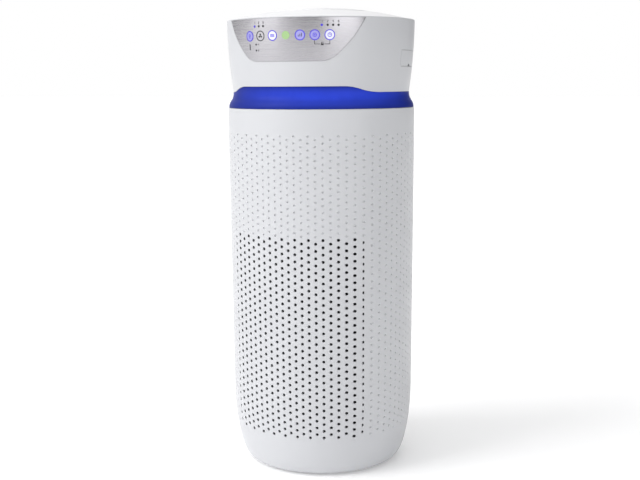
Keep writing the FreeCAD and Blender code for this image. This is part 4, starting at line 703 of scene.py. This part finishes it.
def panelOutline(inset):
    # a flat foot, a tight corner, then one long sweep that leans out to the top
    slope, lean = math.radians(head["panelSlope"]), math.radians(head["panelLean"])
    radius = head["panelCorner"] - inset
    low, top = head["panelBottom"] + inset, head["panelTop"] - inset
    foot = (head["panelFlat"], low)
    corner = (foot[0] + radius * math.sin(slope), low + radius * (1 - math.cos(slope)))
    sweep = (top - corner[1]) / (math.cos(slope) - math.cos(lean))
    reach = corner[0] + sweep * (math.sin(lean) - math.sin(slope))
    right = [foot] + arc(foot, corner, radius, 1, 12) + arc(corner, (reach, top), sweep, 1, 12)
    return right + [(-x, z) for x, z in reversed(right)]


def frontEdge(drop, foot):
    # the head's lower edge at the front: a plateau with a soft step each side, closed off at foot
    low, high = head["edgeLow"] - drop, head["edgeHigh"] - drop
    run, rise = (head["edgeRun"] - head["edgeFlat"]) / 2, (high - low) / 2
    bend = (run ** 2 + rise ** 2) / (2 * rise)
    middle = (head["edgeFlat"] + run, low + rise)
    right = [(head["edgeRun"], low)] + arc((head["edgeRun"], low), middle, bend, -1, 8)
    right += arc(middle, (head["edgeFlat"], high), bend, 1, 8)
    side = [(140, foot), (140, low)] + right
    return side + [(-x, z) for x, z in reversed(side)]


def boxCut(low, high):
    bm = bmesh.new()
    bmesh.ops.create_cube(bm, size=1)
    for vert in bm.verts:
        vert.co = [high[i] if vert.co[i] > 0 else low[i] for i in range(3)]
    return bm


def buildHead():
    top, wall = head["top"], head["wall"]
    outer = headSide(head["edgeLow"], top - 1.0, 0, 22)
    outer += [(headRadius(top - 0.4) - 0.15, top - 0.4), (headRadius(top) - 0.5, top - 0.06),
              (headRadius(top) - 0.9, top), (headRadius(top) - wall + 0.3, top), (headRadius(top) - wall, top - 0.3)]
    ledge = top - head["rimDepth"]
    inner = [(headRadius(ledge, wall), ledge), (head["ledgeInner"], ledge), (head["ledgeInner"], ledge - 2.5),
             (headRadius(ledge - 2.5, wall), ledge - 2.5)] + headSide(head["edgeLow"], ledge - 4, wall, 14)[::-1]
    bm = spun(outer + inner, head["steps"])
    bm = carve(bm, prism(frontEdge(0, 530), 20, 200))
    pocket = carve(headLayer(head["panelBottom"] - 2, top + 2, -2, head["panelThick"]), prism(panelOutline(0), 40, 200),
                   "INTERSECT")
    bm = carve(bm, pocket)
    bm = carve(bm, prism(roundedBox(head["windowHalf"], 602, 640, 3), 40, 200))
    bm = carve(bm, prism(roundedBox(30.5, 581.5, 604.5, 2.2), 60, 200, 90))
    return carve(bm, prism(roundedBox(47.5, 574.5, 611.5, 5), 60, 200, 180))


addPiece(buildHead(), "headShell", "housing", finish["shellWhite"], ("head_shell",),
         sharp=35, normals=headNormal)
panel = carve(headLayer(head["panelBottom"] - 2, head["panelTop"], 0, head["panelThick"], 30),
              prism(panelOutline(0.35), 40, 200), "INTERSECT")
addPiece(panel, "panelFascia", "housing", finish["panelSilver"], ("control_panel",), sharp=35,
         normals=headNormal)
print("head and panel done")


# ---- light ring

ring = {"foot": 135.0, "waist": 128.2, "low": 524.3, "bend": 544.8, "collar": 125.2, "collarInner": 120.6,
        "collarLow": 523.0, "collarTop": 562.0, "glow": (0.016, 0.042, 0.50), "strength": 0.9}


def buildRing():
    middle = ((ring["foot"] + ring["waist"]) / 2, (ring["low"] + ring["bend"]) / 2)
    step, rise = (ring["foot"] - ring["waist"]) / 2, (ring["bend"] - ring["low"]) / 2
    bend = (step ** 2 + rise ** 2) / (2 * step)
    outer = [(ring["foot"], ring["low"])] + arc((ring["foot"], ring["low"]), middle, bend, 1, 10)
    outer += arc(middle, (ring["waist"], ring["bend"]), bend, -1, 10)
    outer += [(ring["waist"], z) for z in (547, 550, 553, 556)]
    bm = spun(outer + [(ring["collarInner"], 556), (ring["collarInner"], ring["low"])], 240)
    above = boxCut((-150, -2, head["edgeLow"] - 0.4), (150, 150, 570))
    bm = carve(bm, above)
    upper = frontEdge(0.4, 575)
    bm = carve(bm, prism(upper, 0, 200))
    tube = spun([(ring["collarInner"], ring["collarLow"]), (ring["collar"], ring["collarLow"]),
                 (ring["collar"], ring["collarTop"]), (ring["collarInner"], ring["collarTop"])], 160)
    join(bm, tube)
    return bm


ringBlue = glowing("ringBlue", (0.014, 0.026, 0.22), ring["glow"], ring["strength"],
                   (0.5243, 0.5553, [(0.02, 0.10), (0.16, 0.42), (0.42, 1.0), (0.72, 0.95), (0.9, 0.45), (0.98, 0.25)]))
addPiece(buildRing(), "lightRing", "housing", ringBlue, ("light_ring",), sharp=40)
print("ring done")


# ---- outlet dome

dome = {"rim": 133.0, "rise": 17.5, "skirt": 4.2, "wall": 2.5, "fin": 5.0, "slotInner": 22.0, "pitch": 6.4,
        "slot": 3.8, "rings": 10, "spokes": 8, "spoke": 4.0}
domeCurve = (dome["rim"] ** 2 + dome["rise"] ** 2) / (2 * dome["rise"])


def domeHeight(radius):
    return head["top"] + dome["rise"] - domeCurve + math.sqrt(domeCurve ** 2 - radius ** 2)


def domeRing(inner, outer, deep, steps):
    # a ring of the dome with its upper edges rounded off
    soft = 0.35
    line = [(inner, domeHeight(inner) - deep), (inner, domeHeight(inner) - soft), (inner + soft, domeHeight(inner + soft))]
    spans = max(1, round((outer - inner) / 5))
    line += [(inner + soft + (outer - inner - 2 * soft) * i / spans,
              domeHeight(inner + soft + (outer - inner - 2 * soft) * i / spans)) for i in range(1, spans + 1)]
    return spun(line + [(outer, domeHeight(outer) - soft), (outer, domeHeight(outer) - deep)], steps)


def buildDome():
    first, last = dome["slotInner"], dome["slotInner"] + dome["pitch"] * (dome["rings"] - 1) + dome["slot"]
    crown = [(0, domeHeight(0) - dome["fin"])] + [(r, domeHeight(r)) for r in (0, 5, 10, 15, 20)]
    bm = spun(crown + [(first - 0.3, domeHeight(first)), (first, domeHeight(first) - 0.35),
                       (first, domeHeight(first) - dome["fin"])], 96, closed=False)
    bmesh.ops.holes_fill(bm, edges=bm.edges[:], sides=0)
    for i in range(dome["rings"] - 1):
        inner = dome["slotInner"] + dome["pitch"] * i + dome["slot"]
        join(bm, domeRing(inner, inner + dome["pitch"] - dome["slot"], dome["fin"], 128))
    edge = dome["rim"] - dome["skirt"]
    spans = [last + (dome["rim"] - last) * i / 12 for i in range(13)]
    plate = [(last, domeHeight(last) - dome["fin"]), (last, domeHeight(last) - 0.35)]
    plate += [(r + (0.35 if i == 0 else 0), domeHeight(r)) for i, r in enumerate(spans[:-1])]
    plate += [(dome["rim"] - 0.5, head["top"] + 0.12), (dome["rim"], head["top"] - 0.3), (dome["rim"], head["top"] - 4),
              (edge, head["top"] - 4), (edge, domeHeight(edge) - dome["wall"]), (last + 3, domeHeight(last + 3) - dome["wall"]),
              (last + 2, domeHeight(last) - dome["fin"])]
    join(bm, spun(plate, 192))
    for i in range(dome["spokes"]):
        spoke = bmesh.new()
        bmesh.ops.create_cube(spoke, size=1)
        along = [e for e in spoke.edges if abs((e.verts[0].co - e.verts[1].co).x) > 0.5]
        bmesh.ops.subdivide_edges(spoke, edges=along, cuts=9)
        for vert in spoke.verts:
            reach = first - 1 + (last - first + 2) * (vert.co.x + 0.5)
            level = domeHeight(reach) - (0.12 if vert.co.z > 0 else dome["fin"] + 1)
            vert.co = (reach, vert.co.y * dome["spoke"], level)
        bmesh.ops.rotate(spoke, verts=spoke.verts[:], cent=(0, 0, 0), matrix=Matrix.Rotation(math.tau * i / 8, 3, "Z"))
        join(bm, spoke)
    return bm


addPiece(buildDome(), "outletDome", "housing", finish["domeWhite"], ("outlet_grille",), sharp=40)
print("dome done")


# ---- marks on the panel

marks = {"row": 623.1, "pitch": 8.5, "outer": 7.1, "stroke": 1.2, "low": 0.02, "high": 0.22}
ink = {name: bmesh.new() for name in ("violet", "lavender", "black", "green", "white")}


def wrapOn(bm, angle, height):
    # (across, up, lift) points laid on the panel round a centre
    for vert in bm.verts:
        across, up, lift = vert.co
        level = height + up
        turn = math.radians(angle) + across / headRadius(level)
        radius = headRadius(level) + lift
        vert.co = (radius * math.sin(turn), -radius * math.cos(turn), level)
    bmesh.ops.recalc_face_normals(bm, faces=bm.faces[:])
    return bm


def annulus(outer, inner, low, high, steps=40):
    if inner > 0:
        return spun([(inner, low), (outer, low), (outer, high), (inner, high)], steps)
    return spun([(0, low), (outer, low), (outer, high), (0, high)], steps, closed=False)


def slab(points, low, high):
    bm = bmesh.new()
    face = bm.faces.new([bm.verts.new((x, y, low)) for x, y in points])
    made = bmesh.ops.extrude_face_region(bm, geom=[face])
    bmesh.ops.translate(bm, verts=[p for p in made["geom"] if isinstance(p, bmesh.types.BMVert)],
                        vec=(0, 0, high - low))
    return bm


def bar(start, end, width, low, high):
    start, end = Vector(start), Vector(end)
    along = (end - start).normalized() * width / 2
    side = Vector((-along.y, along.x))
    corners = [start - along - side, end + along - side, end + along + side, start - along + side]
    return slab([tuple(corner) for corner in corners], low, high)


def shifted(bm, across, up):
    bmesh.ops.translate(bm, verts=bm.verts[:], vec=(across, up, 0))
    return bm


def stamp(colourName, shapes, angle, height):
    for shape in shapes:
        join(ink[colourName], wrapOn(shape, angle, height))


def digit(number, size, low, high):
    # a plain numeral from up to seven strokes
    wide, tall, thin = size * 0.5, size, size * 0.17
    ends = {"a": (0, 1, 1, 1), "b": (1, .5, 1, 1), "c": (1, 0, 1, .5), "d": (0, 0, 1, 0), "e": (0, 0, 0, .5),
            "f": (0, .5, 0, 1), "g": (0, .5, 1, .5)}
    lit = {"1": "bc", "2": "abged", "3": "abgcd", "4": "fgbc", "8": "abcdefg"}[number]
    return [bar(((x0 - 0.5) * wide, (y0 - 0.5) * tall), ((x1 - 0.5) * wide, (y1 - 0.5) * tall), thin, low, high)
            for x0, y0, x1, y1 in (ends[part] for part in lit)]


def buildMarks():
    low, high, outer = marks["low"], marks["high"], marks["outer"]
    top = high + 0.06
    inner = outer - marks["stroke"]
    looks = ["lavender", None, "white", None, "lavender", "lavender", "white"]
    for i, fill in enumerate(looks):
        angle = marks["pitch"] * (i - 3)
        if i == 3:
            stamp("green", [annulus(5.6, 0, low, high)], angle, marks["row"])
            continue
        stamp("black" if i == 1 else "violet", [annulus(outer, inner, low, high)], angle, marks["row"])
        if fill:
            stamp(fill, [annulus(inner - 0.05, 0, low, high - 0.08)], angle, marks["row"])
    glyphs = {
        0: ("violet", [shifted(annulus(1.9, 1.1, low, top, 24), 0, 0.8), bar((-0.7, -1.9), (0.7, -1.9), 0.7, low, top),
                       bar((-0.5, -2.9), (0.5, -2.9), 0.6, low, top)]),
        1: ("black", [shifted(annulus(1.25, 0, low, top, 16), 2 * math.sin(a), 2 * math.cos(a)) for a in (0, 2.09, 4.19)]
            + [annulus(0.7, 0, low, top, 16)]),
        2: ("violet", [bar((-2.8, y), (2.8, y), 0.8, low, top) for y in (-1.5, 0, 1.5)]),
        4: ("black", [bar((x, -1.5), (x, x * 0.6 + 0.9), 0.9, low, top) for x in (-2.2, 0, 2.2)]),
        5: ("violet", [annulus(2.7, 1.9, low, top, 28), annulus(0.9, 0, low, top, 16)]),
        6: ("violet", [annulus(2.9, 2.2, low, top, 28), bar((0, 0), (0, 1.6), 0.55, low, top),
                       bar((0, 0), (1.2, 0), 0.55, low, top)]),
    }
    for i, (name, shapes) in glyphs.items():
        stamp(name, shapes, marks["pitch"] * (i - 3), marks["row"])
    for angles, numbers in (((-21.1, -17.9, -14.7), "123"), ((21.0, 24.3, 27.4, 30.5), "1248")):
        for place, number in zip(angles, numbers):
            stamp("violet" if place == angles[0] else "black", [annulus(1.6, 0, low, high, 20)], place, 636)
            stamp("black", digit(number, 2.6, low, high), place, 640.8)
    # lock mark with its brackets, the power bar and the two status dots
    stamp("black", [bar((-0.8, -0.5), (0.8, -0.5), 2.2, low, high), shifted(annulus(1.5, 0.8, low, high, 20), 0, 1.3)],
          21.2, 611)
    stamp("black", [bar((side * 10.2, rise), (side * end, 0), 0.75, low, high)
                    for side in (-1, 1) for rise, end in ((4.4, 10.2), (0, 3.2))], 21.2, 611)
    stamp("black", [bar((0, -3.3), (0, 3.3), 1.5, low, high)], -25.8, 608.5)
    for height in (611.7, 603.8):
        stamp("black", [annulus(1.3, 0, low, high, 20)], -20.6, height)
        stamp("black", [bar((0, -0.9), (0, 0.9), 0.5, low, high), bar((0, 0.9), (0.9, 0.2), 0.4, low, high)], -18.9, height)
    stamp("black", [bar((-0.9, 0), (0.9, 0), 0.4, low, high)], -18.9, 603)


buildMarks()
markFinish = {
    "violet": glowing("markViolet", (0.06, 0.04, 0.45), (0.12, 0.10, 0.85), 0.3),
    "lavender": glowing("markLavender", (0.32, 0.31, 0.62), (0.45, 0.45, 0.9), 0.12),
    "white": glowing("markWhite", (0.74, 0.74, 0.86), (0.8, 0.8, 0.95), 0.10),
    "green": glowing("markGreen", (0.34, 0.50, 0.24), (0.35, 0.75, 0.32), 0.08),
    "black": finish["printBlack"],
}
for name, bm in ink.items():
    addPiece(bm, "mark" + name.capitalize(), "housing", markFinish[name], sharp=30)
print("marks done")


# ---- finishes of the design's own parts that show as they are

slotFinish = {
    "shell_white": "shellWhite", "inner_grey": "innerGrey", "fan_grey": "fanGrey", "foot_rubber": "footRubber",
    "fastener_steel": "zincSteel", "motor_steel": "motorSteel", "gland_black": "glandBlack",
    "filter_frame": "filterFrame", "filter_paper": "filterPaper", "carbon": "carbonBed", "screen_net": "screenNet",
    "strap": "strapTape", "lamp_glass": "lampQuartz", "lamp_ceramic": "ceramicCream", "reflector": "polishedSheet",
    "ballast_case": "pottedBlack", "needle_steel": "needleSteel", "board_green": "boardGreen",
    "components": "pottedBlack", "guide_clear": "guideClear", "pad_felt": "padFelt", "panel_silver": "panelSilver",
    "ring_blue": "guideClear",
}
nodeFinish = {"filter_gasket": "gasketFoam", "outlet_grille": "domeWhite"}
for name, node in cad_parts.items():
    slotName = node.material_slots[0].material.name if node.material_slots and node.material_slots[0].material else ""
    label = nodeFinish.get(name) or slotFinish.get(slotName)
    if label is None:
        print("no finish for", name, slotName)
        continue
    for place in node.material_slots:
        place.material = finish[label]
print("design parts finished")


# ---- studio

sky = {
    "turn": 69.5, "top": 1.1, "strength": 1.0, "floorGlow": 0.2,
    # degrees to the right of the camera as the object sees it, and the brightness there near the floor and above
    "low": [(-179, 1.0), (-160, 1.0), (-140, 0.5), (-110, 0.8), (-92, 1.0), (-82, 1.7), (-56, 1.7), (-46, 0.9),
            (-20, 0.35), (0, 0.35), (10, 1.6), (18, 2.3), (44, 2.3), (56, 0.05), (150, 0.04), (162, 1.0), (179, 1.0)],
    "high": [(-179, 1.0), (-160, 1.0), (-140, 0.5), (-110, 0.8), (-92, 1.0), (-82, 7.9), (-56, 7.9), (-46, 1.1),
             (-20, 0.8), (0, 0.8), (10, 0.8), (44, 0.3), (56, 0.05), (150, 0.04), (162, 1.0), (179, 1.0)],
}


def addLight(name, place, aim, size, power, tint=(1, 1, 1), spread=180):
    data = bpy.data.lights.new(name, "AREA")
    data.shape, data.size, data.size_y = "RECTANGLE", size[0], size[1]
    data.energy, data.color, data.spread = power, tint, math.radians(spread)
    lamp = bpy.data.objects.new(name, data)
    bpy.context.scene.collection.objects.link(lamp)
    lamp.location = place
    lamp.rotation_euler = (Vector(aim) - Vector(place)).to_track_quat("-Z", "Y").to_euler()


def buildStudio():
    bm = bmesh.new()
    bmesh.ops.create_grid(bm, x_segments=1, y_segments=1, size=30)
    mesh = bpy.data.meshes.new("studioFloor")
    bm.to_mesh(mesh)
    bm.free()
    floor = bpy.data.objects.new("studioFloor", mesh)
    bpy.context.scene.collection.objects.link(floor)
    floor.location.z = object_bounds()[0][2] - 0.0002
    mesh.materials.append(moulded("paleFloor", (0.86, 0.86, 0.865), (0.85, 0.85, 0.855), 0.8, 0.002, 0.00001,
                                   Emission_Color=colour(1, 1, 1), Emission_Strength=sky["floorGlow"]))


def buildSky():
    # soft light round the studio: what stands to each side is set by its angle from the camera
    world = bpy.data.worlds.new("studioSky")
    bpy.context.scene.world = world
    world.use_nodes = True
    tree = world.node_tree
    ground = tree.nodes["Background"]
    turn = addNode(tree, "Mapping", Vector=addNode(tree, "TexCoord").outputs["Generated"],
                   Rotation=(0, 0, math.radians(sky["turn"])))
    around = addNode(tree, "TexGradient", gradient_type="RADIAL", Vector=turn.outputs[0])
    belts = []
    for belt in ("low", "high"):
        ramp = addNode(tree, "ValToRGB", Fac=around.outputs["Fac"])
        setRamp(ramp.color_ramp, [(angle / 360 + 0.5, value) for angle, value in sky[belt]])
        belts.append(ramp.outputs[0])
    height = addNode(tree, "SeparateXYZ", Vector=addNode(tree, "TexCoord").outputs["Generated"]).outputs["Z"]
    walls = mix(tree, spread(tree, height, 0, 1, 0.30, 0.45), belts[0], belts[1])
    overhead = spread(tree, height, 0, 1, 0.5, 0.95)
    tree.links.new(mix(tree, overhead, walls, colour(*[sky["top"]] * 3)), ground.inputs["Color"])
    ground.inputs["Strength"].default_value = sky["strength"]


eye = {"place": (0.560, -1.498, 0.564), "turn": 20.5, "down": 8.45, "roll": -0.355, "lens": 60.76, "shift": -0.0034}


def buildCamera():
    data = bpy.data.cameras.new("eye")
    data.lens, data.sensor_width, data.shift_x = eye["lens"], 36, eye["shift"]
    data.clip_start, data.clip_end = 0.05, 100
    camera = bpy.data.objects.new("eye", data)
    bpy.context.scene.collection.objects.link(camera)
    camera.matrix_world = (
        Matrix.Translation(eye["place"]) @ Matrix.Rotation(math.radians(eye["turn"]), 4, "Z")
        @ Matrix.Rotation(math.radians(90 - eye["down"]), 4, "X") @ Matrix.Rotation(math.radians(eye["roll"]), 4, "Z"))
    bpy.context.scene.camera = camera


bpy.context.scene.view_settings.view_transform = "Standard"
buildStudio()
buildSky()
buildCamera()
print("studio done")
